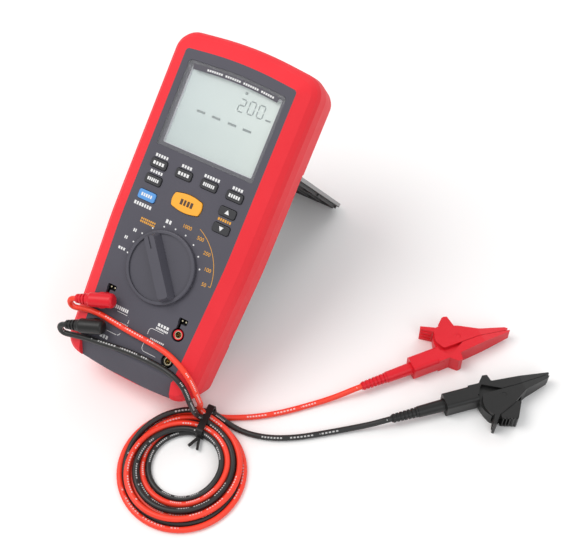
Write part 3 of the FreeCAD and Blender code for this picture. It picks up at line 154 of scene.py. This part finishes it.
# %% Sockets that can be used in sums
class Sum:
    """The output of a shader node, usable in sums."""

    def __init__(self, finish, socket):
        self.finish = finish
        self.socket = socket

    def math(self, operation, *values):
        """A Math node fed by numbers or other sums."""
        return self.finish.node("ShaderNodeMath", {"operation": operation},
                                dict(enumerate(values)))

    def __add__(self, other):
        return self.math("ADD", self, other)

    def __radd__(self, other):
        return self.math("ADD", other, self)

    def __sub__(self, other):
        return self.math("SUBTRACT", self, other)

    def __rsub__(self, other):
        return self.math("SUBTRACT", other, self)

    def __mul__(self, other):
        return self.math("MULTIPLY", self, other)

    def __rmul__(self, other):
        return self.math("MULTIPLY", other, self)

    def __mod__(self, other):
        return self.math("FLOORED_MODULO", self, other)

    def __gt__(self, other):
        return self.math("GREATER_THAN", self, other)

    def __lt__(self, other):
        return self.math("LESS_THAN", self, other)


class Finish:
    """A material under construction round one Principled shader."""

    def __init__(self, name):
        self.material = bpy.data.materials.new(name)
        self.material.use_nodes = True
        self.tree = self.material.node_tree
        self.shader = self.tree.nodes["Principled BSDF"]

    def node(self, kind, settings=None, values=None, output=0):
        """Any node: its settings first, then a value or a link for each named socket."""
        made = self.tree.nodes.new(kind)
        for key, value in (settings or {}).items():
            setattr(made, key, value)
        for key, value in (values or {}).items():
            self.plug(made.inputs[key], value)
        return Sum(self, made.outputs[output])

    def plug(self, target, value):
        """Link a sum to a socket, or write a plain value there."""
        if isinstance(value, Sum):
            self.tree.links.new(value.socket, target)
        elif isinstance(value, (tuple, list)) and len(value) == 3 and target.type == "RGBA":
            target.default_value = (*value, 1.0)
        else:
            target.default_value = value

    def set(self, **values):
        """Feed the shader's sockets; an underscore stands for the space in a socket's name."""
        for key, value in values.items():
            self.plug(self.shader.inputs[key.replace("_", " ")], value)
        return self

    def place(self):
        """Object coordinates: metres in the tester's own frame."""
        return self.node("ShaderNodeTexCoord", output="Object")

    def noise(self, scale, detail=2.0, where=None):
        return self.node("ShaderNodeTexNoise", {},
                         {"Vector": where or self.place(), "Scale": scale, "Detail": detail},
                         output="Fac")

    def blend(self, factor, one, other):
        """One colour where the factor is 0 and the other where it is 1."""
        return self.node("ShaderNodeMix", {"data_type": "RGBA"},
                         {0: factor, 6: one, 7: other}, output=2)

    def bump(self, height, strength, distance):
        return self.node("ShaderNodeBump", {}, {"Height": height, "Strength": strength,
                                                "Distance": distance}, output="Normal")


def grey(value):
    return (value, value, value)


# %% [markdown]
# The floor is a plain pale sheet. It is nearly white, with a faint unevenness that no eye picks
# out, because a perfectly even floor looks computed rather than lit.

# %% Floor finish
floor_finish = Finish("studio_floor")
floor_finish.set(Base_Color=floor_finish.blend(floor_finish.noise(3.0), grey(0.93), grey(0.95)),
                 Roughness=0.75)
floor_finish.shader.inputs["Specular IOR Level"].default_value = 0.2
floor.data.materials.append(floor_finish.material)
print("floor finish", floor_finish.material.name)

# %% [markdown]
# ## Finishes of the hard parts
# Moulded plastic and rubber look alike from afar, yet each has its own grain: the mould is
# spark-eroded, and the surface keeps that fine texture. So one function makes them all, from two
# close colours, a roughness and a grain size. The broad noise shifts the colour slightly from
# place to place, as handling does, and the fine noise gives the bump that breaks up highlights.


# %% Moulded plastic and rubber
def moulded(name, colour, other, roughness, grain=1300.0, depth=0.12, gloss=0.3):
    """grain is the fine noise's scale, depth the bump's strength, gloss the specular level."""
    finish = Finish(name)
    finish.shader.inputs["Specular IOR Level"].default_value = gloss
    fine = finish.noise(grain, 2.0)
    broad = finish.noise(30.0, 3.0)
    finish.set(Base_Color=finish.blend(broad * 0.75 + fine * 0.25, colour, other),
               Roughness=finish.noise(110.0, 4.0) * 0.14 + (roughness - 0.07),
               Normal=finish.bump(fine, depth, 0.0002))
    return finish


finishes = {
    "red_rubber": moulded("soft_red_rubber", (0.76, 0.018, 0.03), (0.86, 0.032, 0.045), 0.58, 900),
    "panel_plastic": moulded("panel_grey_plastic", (0.074, 0.072, 0.09), (0.094, 0.09, 0.112),
                             0.6, 1800, 0.2, 0.22),
    "black_plastic": moulded("black_case_plastic", grey(0.009), grey(0.014), 0.5, 1700, 0.2),
    "knob_plastic": moulded("satin_knob_plastic", (0.07, 0.068, 0.085), (0.088, 0.085, 0.106),
                            0.42, 2300, 0.1),
    "red_plastic": moulded("glossy_red_plastic", (0.64, 0.008, 0.018), (0.76, 0.016, 0.03), 0.34,
                           700, 0.06),
    "foot_rubber": moulded("foot_rubber", grey(0.035), grey(0.055), 0.8, 1100, 0.25),
    "grey_silicone": moulded("keypad_silicone", grey(0.26), grey(0.33), 0.7, 1000),
    "black_key": moulded("black_key_plastic", (0.03, 0.03, 0.034), (0.04, 0.04, 0.045), 0.45,
                         2400, 0.1),
    "blue_key": moulded("blue_key_plastic", (0.085, 0.27, 0.63), (0.11, 0.33, 0.7), 0.42, 2400),
    "orange_key": moulded("orange_key_plastic", (0.84, 0.36, 0.03), (0.92, 0.43, 0.045), 0.42,
                          2400),
    "black_lead_plastic": moulded("black_clip_plastic", grey(0.008), grey(0.014), 0.4, 800, 0.08,
                                  0.4),
    "tie_plastic": moulded("black_tie_plastic", grey(0.009), grey(0.016), 0.45, 900),
}
print(len(finishes), "moulded finishes")

# %% [markdown]
# Metal differs from plastic in one socket above all: with Metallic at 1 the base colour tints the
# reflection itself. Drawn or rolled metal also shows fine lines, made here by stretching the
# noise, so that it changes quickly across the sheet and slowly along it.


# %% Metals
def metal(name, colour, other, roughness, along=(1.0, 1.0, 14.0)):
    finish = Finish(name)
    finish.shader.inputs["Metallic"].default_value = 1.0
    stretched = finish.node("ShaderNodeMapping", {}, {"Vector": finish.place(), "Scale": along},
                            output="Vector")
    lines = finish.noise(500.0, 3.0, where=stretched)
    finish.set(Base_Color=finish.blend(finish.noise(90.0), colour, other),
               Roughness=lines * 0.16 + (roughness - 0.08), Normal=finish.bump(lines, 0.08, 0.0001))
    return finish


finishes["zinc_steel"] = metal("zinc_plated_steel", (0.60, 0.60, 0.62), (0.70, 0.70, 0.69), 0.32)
finishes["plated_brass"] = metal("plated_brass", (0.76, 0.66, 0.42), (0.82, 0.74, 0.55), 0.25)
print("two metals; moulded and metal finishes:", len(finishes))

# %% [markdown]
# The pieces behind the panel are finished too, because they show when someone takes the model
# apart: a green board with paler tracks and tinned pads, a coil wrapped in amber tape, a glass
# fuse, and cells in printed sleeves. A repeating stripe is a remainder: dividing a coordinate by
# the stripe's pitch leaves the same numbers again and again.


# %% Inner parts and glass
def axis_of(finish, name):
    return finish.node("ShaderNodeSeparateXYZ", {}, {0: finish.place()}, output=name)


board = Finish("solder_masked_board")
tracks = (axis_of(board, "X") * 260.0 + board.noise(60.0) * 1.4) % 1.0 < 0.34
pads = board.noise(420.0, 1.0) > 0.68
board.set(Base_Color=board.blend(pads, board.blend(tracks, (0.008, 0.11, 0.045),
                                                   (0.02, 0.19, 0.08)), (0.62, 0.6, 0.56)),
          Roughness=board.noise(200.0) * 0.15 + 0.32, Normal=board.bump(tracks, 0.2, 0.0001))
finishes["board_laminate"] = board

tape = Finish("amber_winding_tape")
wraps = (axis_of(tape, "X") * 330.0 + axis_of(tape, "Z") * 120.0) % 1.0
tape.set(Base_Color=tape.blend(wraps, (0.30, 0.16, 0.03), (0.46, 0.28, 0.07)),
         Roughness=tape.noise(300.0) * 0.2 + 0.3, Normal=tape.bump(wraps, 0.3, 0.0003))
finishes["wound_core"] = tape

sleeve = Finish("printed_cell_sleeve")
label = (axis_of(sleeve, "X") * 19.0 + 0.5) % 1.0 < 0.3
sleeve.set(Base_Color=sleeve.blend(label, sleeve.blend(sleeve.noise(60.0), grey(0.02), grey(0.035)),
                                   (0.62, 0.42, 0.12)),
           Roughness=sleeve.noise(240.0) * 0.12 + 0.24,
           Normal=sleeve.bump(sleeve.noise(500.0), 0.05, 0.0002))
finishes["cell_jacket"] = sleeve


def clear(name, colour, alpha, roughness):
    finish = Finish(name)
    haze = finish.noise(45.0, 4.0)
    finish.set(Base_Color=finish.blend(haze, colour, grey(1.0)), Alpha=alpha,
               Roughness=haze * 0.06 + roughness)
    return finish


finishes["clear_window"] = clear("clear_window", (0.80, 0.85, 0.87), 0.08, 0.05)
finishes["fuse_glass"] = clear("fuse_glass", (0.86, 0.9, 0.9), 0.35, 0.04)

DISPLAY_HALF_WIDTH = 0.032
crystal = Finish("liquid_crystal")
# painted light and shade: the liquid crystal is darker towards the panel's left and lighter towards its right, as
# the light falls across it
painted_light_across = crystal.node("ShaderNodeMapRange", {},
                    {"Value": axis_of(crystal, "X"), "From Min": -DISPLAY_HALF_WIDTH,
                     "From Max": DISPLAY_HALF_WIDTH, "To Min": 0.0, "To Max": 1.0})
crystal.set(Base_Color=crystal.blend(painted_light_across * 0.8 + crystal.noise(35.0) * 0.2, (0.42, 0.50, 0.50),
                                     (0.56, 0.63, 0.60)),
            Roughness=crystal.noise(160.0) * 0.1 + 0.3,
            Normal=crystal.bump(crystal.noise(1500.0), 0.04, 0.0001))
finishes["display_glass"] = crystal
print("six see-through and inner finishes, so", len(finishes), "in all")

# %% [markdown]
# The stand is moulded in pale grey. Its ribbed inner side lies in its own shadow, and that shadow is
# painted into its colour: the inner face is given a much darker grey, which is painted shade. Its two
# faces are told apart by the plane through its hinge and its foot: a point above that plane is on the
# pale outer face. Both places come from the model, so the plane is right for any size of stand.

# %% Stand
hinge = Vector(joints["stand_hinge"]["pos_m"])
foot_low, foot_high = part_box("stand_foot")
foot_middle = (Vector(foot_low) + Vector(foot_high)) / 2
along_stand = (foot_middle - hinge).normalized()
up_face = Vector((0, -along_stand.z, along_stand.y))
stand = Finish("stand_plastic_painted_shade")
height = (axis_of(stand, "Y") * up_face.y + axis_of(stand, "Z") * up_face.z
          - hinge.dot(up_face))
pale = height > 0.0002
fine_grain = stand.noise(1500.0, 2.0)
# painted shade: the inner face, in the stand's own shadow, gets a dark grey; the outer face keeps its own pale
# grey
stand.set(Base_Color=stand.blend(pale, stand.blend(fine_grain, grey(0.05), grey(0.075)),
                                 stand.blend(fine_grain, grey(0.30), grey(0.36))),
          Roughness=stand.noise(120.0) * 0.12 + 0.5, Normal=stand.bump(fine_grain, 0.25, 0.0002))
finishes["stand_plastic"] = stand
print("stand plane normal", tuple(round(v, 3) for v in up_face))

# %% [markdown]
# The record says which finish each node has, so one loop dresses the whole model. One node leaves
# the rule: the frame that holds the display is seen through the window as a pale grey border,
# though the pieces round it are black.

# %% Dress every node
border = moulded("display_border_plastic", (0.60, 0.60, 0.66), (0.68, 0.68, 0.74), 0.6, 1500)
for piece in frame["record"]["subparts"]:
    name, slot = piece["node"], piece["material_slot"]
    if slot in finishes:
        chosen = border if name == "lcd_frame" else finishes[slot]
        mesh = nodes[name].data
        mesh.materials.clear()
        mesh.materials.append(chosen.material)

# %% [markdown]
# The leads are silicone: soft, with a broad highlight, and printed with a line of small white
# characters. A curve carries a map of its own, with U along the cord and V round it. The print is
# a few tests multiplied together: near one line along the cord, inside a group of characters, and
# on one of the small strokes that make them up.


# %% Silicone with its print
LEAD_LENGTH = 1.07


def silicone(name, colour, other):
    finish = Finish(name)
    map_point = finish.node("ShaderNodeUVMap", {}, output="UV")
    along = finish.node("ShaderNodeSeparateXYZ", {}, {0: map_point}, output="X")
    run = along * LEAD_LENGTH
    round_it = finish.node("ShaderNodeSeparateXYZ", {}, {0: map_point}, output="Y")
    side = (round_it * 2.0) % 1.0
    in_line = (side > 0.42) * (side < 0.58)
    in_group = (run * 15.0) % 1.0 < 0.55
    in_word = (run * 71.0) % 1.0 < 0.8
    stroke = (run * 620.0) % 1.0 < 0.6
    ink = in_line * in_group * in_word * stroke
    base = finish.blend(finish.noise(40.0, 3.0), colour, other)
    finish.set(Base_Color=finish.blend(ink * 0.62, base, grey(0.8)),
               Roughness=finish.noise(260.0, 3.0) * 0.12 + 0.36,
               Normal=finish.bump(finish.noise(900.0, 2.0), 0.05, 0.0002))
    return finish


silicones = {
    "red": silicone("red_silicone", (0.86, 0.035, 0.012), (0.95, 0.055, 0.022)),
    "black": silicone("black_silicone", grey(0.010), grey(0.018)),
}
print("two silicone finishes")

# %% [markdown]
# ## The test leads
# Each lead is one soft silicone cord: from its plug it folds back over the panel, drops past the
# meter's lower corner, goes round four times with its partner, and runs out to its clip. A curve
# does this well, because a bevelled curve keeps the same thickness however it bends. The line is a
# NURBS spline whose control points pull it like guiding fingers without touching it, so no kink
# can appear between them.
#
# The coil is drawn with polar coordinates round its middle. Under the tie all passages lie side by
# side in two layers; opposite the tie the turns are free and fan out. A turn is stated by where it
# passes the tie before and after, how far out it swings, and how high it lies along its way.

# %% The coil's turns
LEAD_D = 3.8                # everything about the leads' routes is in millimetres
COIL_CENTRE = Vector((58.6, -132.4, 0))
TIE_ANGLE = math.radians(97)
STEPS = 16                  # control points for each turn


def height_at(table, along):
    """Straight-line reading of a short table of (share of the turn, value)."""
    for (x0, y0), (x1, y1) in zip(table, table[1:]):
        if along <= x1:
            return y0 + (y1 - y0) * (along - x0) / (x1 - x0)
    return table[-1][1]


def coil_point(radius, angle, height):
    return COIL_CENTRE + Vector((radius * math.cos(angle), radius * math.sin(angle), height))


def turn_points(start, swing, end, heights, sway):
    """One turn, clockwise from the tie back to the tie, without its first point.

    start and end are the radii at the tie and swing the one opposite it. sway pushes the turn out
    on one side and in on the other, so that no turn is a perfect ring.
    """
    points = []
    for i in range(1, STEPS + 1):
        along = i / STEPS
        out = (1 - math.cos(2 * math.pi * along)) / 2
        near = start + (end - start) * along
        radius = near + (swing - near) * out + sway * math.sin(4 * math.pi * along) * out
        angle = TIE_ANGLE - 2 * math.pi * along
        points.append(coil_point(radius, angle, height_at(heights, along)))
    return points


ON_TOP = [(0, 7.7), (0.07, 6.2), (0.15, 5.8), (0.88, 5.8), (1, 6.9)]
DOWN_INSIDE = [(0, 6.9), (0.1, 5.9), (0.26, 5.8), (0.42, 1.9), (0.88, 1.9), (1, 3.1)]
FLAT = [(0, 3.1), (0.1, 1.9), (0.9, 1.9), (1, 3.1)]
CLIMBING = [(0, 3.1), (0.1, 1.9), (0.72, 1.9), (0.9, 5.4), (1, 6.9)]
red_turns = (turn_points(38.3, 36.0, 30.7, ON_TOP, 0.9)
             + turn_points(30.7, 24.2, 30.7, DOWN_INSIDE, 0.4)
             + turn_points(30.7, 32.4, 38.3, FLAT, -0.3)
             + turn_points(38.3, 41.0, 42.1, FLAT, -0.2))
black_turns = (turn_points(34.5, 30.4, 26.9, ON_TOP, 0.5)
               + turn_points(26.9, 20.2, 26.9, DOWN_INSIDE, 0.2)
               + turn_points(26.9, 28.4, 34.5, FLAT, -0.3)
               + turn_points(34.5, 36.8, 42.1, CLIMBING, -0.2))
print(len(red_turns), "points in the red lead's turns and", len(black_turns), "in the black's")

# %% [markdown]
# The free stretches follow the same route points as the CAD tubes, so that the soft lead lies
# where its stand-in does. Only the last few points before the tie differ: there the cord has to
# bend round into its first turn, which the plain tube doesn't.

# %% Routes of both leads, in millimetres
red_before = [
    (-43.245, -88.08, 64.609), (-46.35, -88.95, 63.9), (-48.05, -89.85, 61.3),
    (-47.5, -90.5, 58.1), (-45.1, -90.2, 55.9), (-39.0, -88.8, 57.6), (-29.5, -87.8, 58.8),
    (-17.0, -88.3, 58.4), (-3.0, -89.2, 57.7), (11.0, -89.5, 57.5), (24.0, -90.3, 57.1),
    (34.0, -92.7, 55.6), (42.0, -95.4, 52.6), (48.2, -98.0, 48.4), (52.0, -100.2, 41.6),
    (53.6, -99.9, 33.0), (51.9, -97.8, 25.0), (49.4, -96.0, 18.2), (48.5, -95.1, 13.4),
    (50.6, -94.6, 9.7), (53.9, -94.4, 7.7),
]
black_before = [
    (-43.245, -102.176, 53.416), (-46.35, -103.1, 52.7), (-48.05, -104.0, 50.1),
    (-47.5, -104.5, 46.9), (-45.1, -104.3, 44.7), (-39.0, -103.2, 45.7), (-29.5, -102.0, 47.7),
    (-17.0, -100.6, 48.8), (-3.0, -98.9, 50.1), (9.0, -98.2, 50.6), (21.0, -98.0, 50.6),
    (31.5, -98.6, 50.2), (39.3, -100.3, 49.0), (45.2, -102.4, 45.6), (48.9, -104.6, 39.2),
    (51.0, -104.9, 31.0), (51.5, -103.5, 23.6), (50.0, -101.2, 17.6), (49.0, -99.6, 13.2),
    (51.0, -98.6, 9.7), (54.4, -98.2, 7.7),
]
red_after = [
    (61.0, -88.8, 2.2), (69.5, -84.0, 2.0), (80.5, -76.9, 2.0), (92.0, -67.4, 2.1),
    (103.0, -56.0, 2.0), (112.5, -45.8, 2.2), (120.5, -37.4, 4.0), (126.0, -31.3, 6.1),
    (130.248, -26.152, 6.5),
]
black_after = [
    (60.5, -90.9, 5.9), (67.5, -91.3, 3.5), (75.5, -91.2, 2.0), (86.0, -89.6, 2.0),
    (98.5, -84.9, 2.1), (111.5, -76.7, 2.0), (124.0, -66.4, 2.1), (137.0, -55.4, 2.4),
    (147.5, -47.3, 4.2), (153.9, -42.0, 6.1), (158.224, -37.873, 6.5),
]


def cord_curve(name, points, finish):
    """One smooth round cord through the pull of its control points."""
    data = bpy.data.curves.new(name, "CURVE")
    data.dimensions = "3D"
    spline = data.splines.new("NURBS")
    spline.points.add(len(points) - 1)
    for at, point in zip(spline.points, points):
        at.co = (*(Vector(point) * MM), 1)
    spline.order_u = 3
    spline.use_endpoint_u = True
    spline.resolution_u = 5
    data.bevel_depth = LEAD_D / 2 * MM
    data.bevel_resolution = 5
    data.use_fill_caps = True
    data.materials.append(finish.material)
    cord = bpy.data.objects.new(name, data)
    scene.collection.objects.link(cord)
    return cord


def line_length(cord):
    """Length of the cord's own line, measured on a copy without thickness."""
    thin = cord.copy()
    thin.data = cord.data.copy()
    thin.data.bevel_depth = 0
    thin.data.resolution_u = 12
    mesh = bpy.data.meshes.new_from_object(thin)
    total = sum((mesh.vertices[e.vertices[0]].co - mesh.vertices[e.vertices[1]].co).length
                for e in mesh.edges)
    bpy.data.meshes.remove(mesh)
    bpy.data.objects.remove(thin)
    return total


red_cord = cord_curve("red_lead", red_before + red_turns + red_after, silicones["red"])
black_cord = cord_curve("black_lead", black_before + black_turns + black_after,
                        silicones["black"])
lengths = {"red": line_length(red_cord), "black": line_length(black_cord)}
print("lead lengths", {k: round(v, 3) for k, v in lengths.items()})

# %% Hide the CAD leads and put the soft leads on the meter
for colour, cord, start in (("red", red_cord, red_before[0]),
                            ("black", black_cord, black_before[0])):
    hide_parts(colour + "_panel_lead", colour + "_clip_lead", "lead_coil")
    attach(cord, "meter")
print("both leads ride on the meter")

# %% [markdown]
# ## Printed markings
# Printing is a very thin layer of ink on the panel. It is drawn flat, in millimetres, as closed
# outlines of a filled curve, made a mesh, and only then carried to the leaning panel. Words are
# left as rows of small blocks, because they say nothing here; the dial keeps its numbers.


# %% Shapes for ink
def bar(x, y, width, height):
    """A rectangle round its middle."""
    return [(x - width / 2, y - height / 2), (x + width / 2, y - height / 2),
            (x + width / 2, y + height / 2), (x - width / 2, y + height / 2)]


def word(x, y, width, height, letters):
    """A row of small upright blocks in place of letters."""
    pitch = width / letters
    left = x - width / 2
    return [bar(left + (i + 0.5) * pitch, y, pitch * (0.74, 0.62, 0.7)[i % 3], height)
            for i in range(letters)]


def dot(x, y, radius):
    return [(x + radius * math.cos(a * math.pi / 8), y + radius * math.sin(a * math.pi / 8))
            for a in range(16)]


def band(x, y, radius, first, last, width, steps=24):
    """Part of a ring, between two angles in degrees."""
    loop = []
    outward, back = range(steps + 1), range(steps, -1, -1)
    for r, order in ((radius + width / 2, outward), (radius - width / 2, back)):
        for i in order:
            a = math.radians(first + (last - first) * i / steps)
            loop.append((x + r * math.cos(a), y + r * math.sin(a)))
    return loop


print("a bar has", len(bar(0, 0, 1, 1)), "corners and a dot", len(dot(0, 0, 1)))

# %% [markdown]
# The next function is the printing press. It fills the outlines, adds numbers as text objects,
# joins all of it into one piece, and places it by the panel matrix at the given height.


# %% Printing press
INK_DEPTH = 0.02            # half the thickness of a layer of ink
BOLD = 0.02                 # widens the strokes of a number


def printed(name, body, finish, outlines, level, numbers=()):
    """One piece of ink. numbers holds (text, x, y, size)."""
    data = bpy.data.curves.new(name, "CURVE")
    data.dimensions = "2D"
    data.fill_mode = "BOTH"
    data.extrude = INK_DEPTH
    for loop in outlines:
        spline = data.splines.new("POLY")
        spline.points.add(len(loop) - 1)
        for at, (x, y) in zip(spline.points, loop):
            at.co = (x, y, 0, 1)
        spline.use_cyclic_u = True
    made = bpy.data.objects.new(name, data)
    scene.collection.objects.link(made)
    inked = [made]
    for text, x, y, size in numbers:
        bpy.ops.object.text_add(location=(x, y, 0))
        written = bpy.context.active_object
        written.data.body = text
        written.data.size = size
        written.data.extrude = INK_DEPTH
        written.data.offset = BOLD
        written.data.align_x = "CENTER"
        written.data.align_y = "CENTER"
        inked.append(written)
    nothing_selected()
    for each in inked:
        each.select_set(True)
    bpy.context.view_layer.objects.active = made
    bpy.ops.object.convert(target="MESH")
    if numbers:
        bpy.ops.object.transform_apply(location=True, rotation=True, scale=True)
        bpy.ops.object.join()
    made = bpy.context.active_object
    made.name = name
    made.data.transform(panel @ Matrix.Scale(MM, 4) @ Matrix.Translation((0, 0, level)))
    made.data.materials.clear()
    made.data.materials.append(finish.material)
    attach(made, body)
    print(name, len(made.data.polygons), "faces of ink")


def ink(name, colour, roughness=0.5):
    finish = Finish(name)
    patchy = finish.noise(700.0, 3.0)
    finish.set(Base_Color=finish.blend(patchy, colour, tuple(v * 0.86 for v in colour)),
               Roughness=patchy * 0.1 + roughness)
    return finish


white_ink = ink("white_ink", (0.80, 0.80, 0.80))
orange_ink = ink("orange_ink", (0.78, 0.36, 0.03))
dark_ink = ink("dark_ink", (0.07, 0.035, 0.02))
segment_ink = ink("display_segments", (0.16, 0.20, 0.20))
strip_ink = ink("display_header_strip", (0.07, 0.065, 0.085))
INK_Z = PANEL_Z + 0.03      # just above the panel's face

# %% [markdown]
# The dial has ten positions, a white dot at each, and an arc that gathers the test voltages.
# Their numbers are the voltages that such a tester offers.

# %% Dial
POSITIONS = 10
DOT_RING = 25.6
FIRST_POSITION = 181.0      # degrees, from the x axis
POSITION_STEP = 17.8
NUMBER_SIZE = 3.3
VOLTAGE_RING = 35.0
ARC_WIDTH = 0.35
dial_dots = []
dial_numbers = []
for i in range(POSITIONS):
    angle = math.radians(FIRST_POSITION - i * POSITION_STEP)
    dial_dots.append(dot(DOT_RING * math.cos(angle), KNOB_Y + DOT_RING * math.sin(angle), 0.55))
for volts, x, y in (("1000", 5.9, 107.6), ("500", 17.0, 104.4), ("250", 24.6, 97.6),
                    ("100", 29.0, 88.6), ("50", 30.3, 79.4)):
    dial_numbers.append((volts, x, y, NUMBER_SIZE))
arc = [band(0.0, KNOB_Y, VOLTAGE_RING, 3, 66, ARC_WIDTH), bar(34.2, 79.6, 1.6, ARC_WIDTH)]
side_words = (word(-30.4, 78.4, 5.4, 1.7, 3) + word(-30.4, 86.0, 2.4, 2.0, 2)
              + word(-26.4, 92.4, 2.6, 2.0, 2) + word(-7.0, 105.9, 4.6, 2.4, 2))
side_orange = word(-20.2, 99.4, 11.0, 1.3, 8) + word(-20.2, 101.2, 11.0, 1.2, 8)
printed("dial_white_print", "meter", white_ink, dial_dots + side_words, INK_Z)
printed("dial_orange_print", "meter", orange_ink,
        arc + side_orange + word(27.2, 120.7, 9.6, 1.7, 6), INK_Z, dial_numbers)

# %% [markdown]
# Labels above the keys, the legend round the jacks and the header strip are plain blocks and
# lines. Each moving key carries its own mark, which rides on the key's body and sinks with it.

# %% Labels on the panel
LINE = 0.3
labels = []
for x, letters in ((-27.6, 5), (-9.2, 4), (9.2, 6), (27.6, 4)):
    labels += word(x, 141.6, letters * 1.9, 1.9, letters)
labels += word(-27.2, 131.2, 9.2, 1.8, 5) + word(-27.9, 108.9, 13.0, 2.2, 7)
labels += word(-16.2, 43.2, 12.6, 2.3, 9) + word(-19.4, 22.2, 6.4, 2.3, 3)
labels += word(-9.5, 34.6, 6.0, 1.1, 5) + word(-9.5, 32.6, 8.6, 0.9, 7)
labels += word(15.9, 44.6, 8.4, 1.9, 4) + word(15.9, 42.2, 9.0, 1.3, 8)
labels += word(15.6, 34.4, 10.4, 1.1, 8) + word(15.4, 21.4, 9.2, 1.7, 6)
lines = [band(-9.6, 38.6, 2.2, 0, 90, LINE), bar(-13.4, 40.8, 7.6, LINE),
         bar(-7.4, 37.4, LINE, 2.4),
         band(-12.0, 28.8, 2.2, -90, 0, LINE), bar(-15.6, 26.6, 7.2, LINE),
         band(9.9, 38.4, 2.2, 90, 180, LINE), bar(13.9, 40.6, 8.0, LINE),
         bar(7.7, 37.2, LINE, 2.4),
         band(10.0, 27.4, 2.4, 180, 270, LINE), bar(14.2, 25.0, 8.4, LINE),
         bar(7.6, 29.2, LINE, 3.6)]
printed("panel_labels", "meter", white_ink, labels + lines, INK_Z)

# %% Marks on the keys
KEY_HEIGHT = 1.0            # the keys' faces, above the panel's
KEY_INK_Z = INK_Z + KEY_HEIGHT
KEY_MARK = (8.2, 2.1)       # width and height of the blocks on a key
TEST_MARK = (9.6, 3.6)
arrow_up = [(-1.6, -1.2), (1.6, -1.2), (0.0, 1.6)]
arrow_down = [(1.6, 1.2), (-1.6, 1.2), (0.0, -1.6)]
for key, letters in (("save_key", 4), ("compare_key", 4), ("ratio_key", 6), ("timer_key", 5),
                     ("recall_key", 6), ("function_key", 5), ("up_key", 0), ("down_key", 0),
                     ("test_key", 4)):
    low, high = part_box(key)
    middle = panel.inverted() @ ((Vector(low) + Vector(high)) / 2) / MM
    if letters:
        size = TEST_MARK if key == "test_key" else KEY_MARK
        marks = word(middle.x, middle.y, *size, letters)
    else:
        shape = arrow_up if key == "up_key" else arrow_down
        marks = [[(middle.x + x, middle.y + y) for x, y in shape]]
    printed(key + "_mark", key, dark_ink if key == "test_key" else white_ink, marks,
            KEY_INK_Z)

# %% [markdown]
# The display shows four dashes and, in its upper right corner, a small number made of seven
# segments. The segments lie on the liquid crystal, under the clear window, and are pale because
# such a display has little contrast from the side.


# %% Display
SEGMENT_SHARE = 0.8         # a segment's length as a share of its side, which leaves gaps


def segments(lit, x, y, wide, tall, thick):
    """Seven-segment figure; lit names segments a to g, a on top and g in the middle."""
    half = tall / 2
    across, upright = wide * SEGMENT_SHARE, half * SEGMENT_SHARE
    left, right = x - wide / 2, x + wide / 2
    upper, lower = y + half / 2, y - half / 2
    places = {"a": bar(x, y + half, across, thick), "g": bar(x, y, across, thick),
              "d": bar(x, y - half, across, thick),
              "b": bar(right, upper, thick, upright), "c": bar(right, lower, thick, upright),
              "e": bar(left, lower, thick, upright), "f": bar(left, upper, thick, upright)}
    return [places[letter] for letter in lit]


LCD_INK_Z = 46.43
HEADER_Z = PANEL_Z + 0.02   # on the window's own face
HEADER_WORDS_Z = HEADER_Z + 0.05
ARCH_R = 256.0              # the window's upper edge is a shallow arch of this radius
HEADER_Y = 202.5
HEADER_LEFT = -20.0
HEADER_PITCH = 1.6
printed("header_strip", "meter", strip_ink,
        [band(0, HEADER_Y - ARCH_R, ARCH_R, 83.2, 96.8, 3.4)], HEADER_Z)
header_words = []
for i in range(30):
    x = HEADER_LEFT + i * HEADER_PITCH
    if i % 8 != 7:          # every eighth block is a gap between words
        header_words.append(bar(x, HEADER_Y - x * x / (2 * ARCH_R), 1.05, 1.3))
printed("header_words", "meter", white_ink, header_words, HEADER_WORDS_Z)
figures = []
for lit, x, y in (("abged", 8.1, 189.6), ("abcdef", 14.8, 190.2), ("abcdef", 21.3, 190.2)):
    figures += segments(lit, x, y, 4.0, 8.0, 0.8)
dashes = [bar(x, 176.5, 6.0, 1.5) for x in (-15.9, -4.9, 6.6, 17.3)]
figures += dashes + [bar(27.7, 186.8, 3.6, 1.2), dot(8.1, 197.6, 1.0)]
printed("display_figures", "meter", segment_ink, figures, LCD_INK_Z)
print("the display reads four dashes and a small figure")
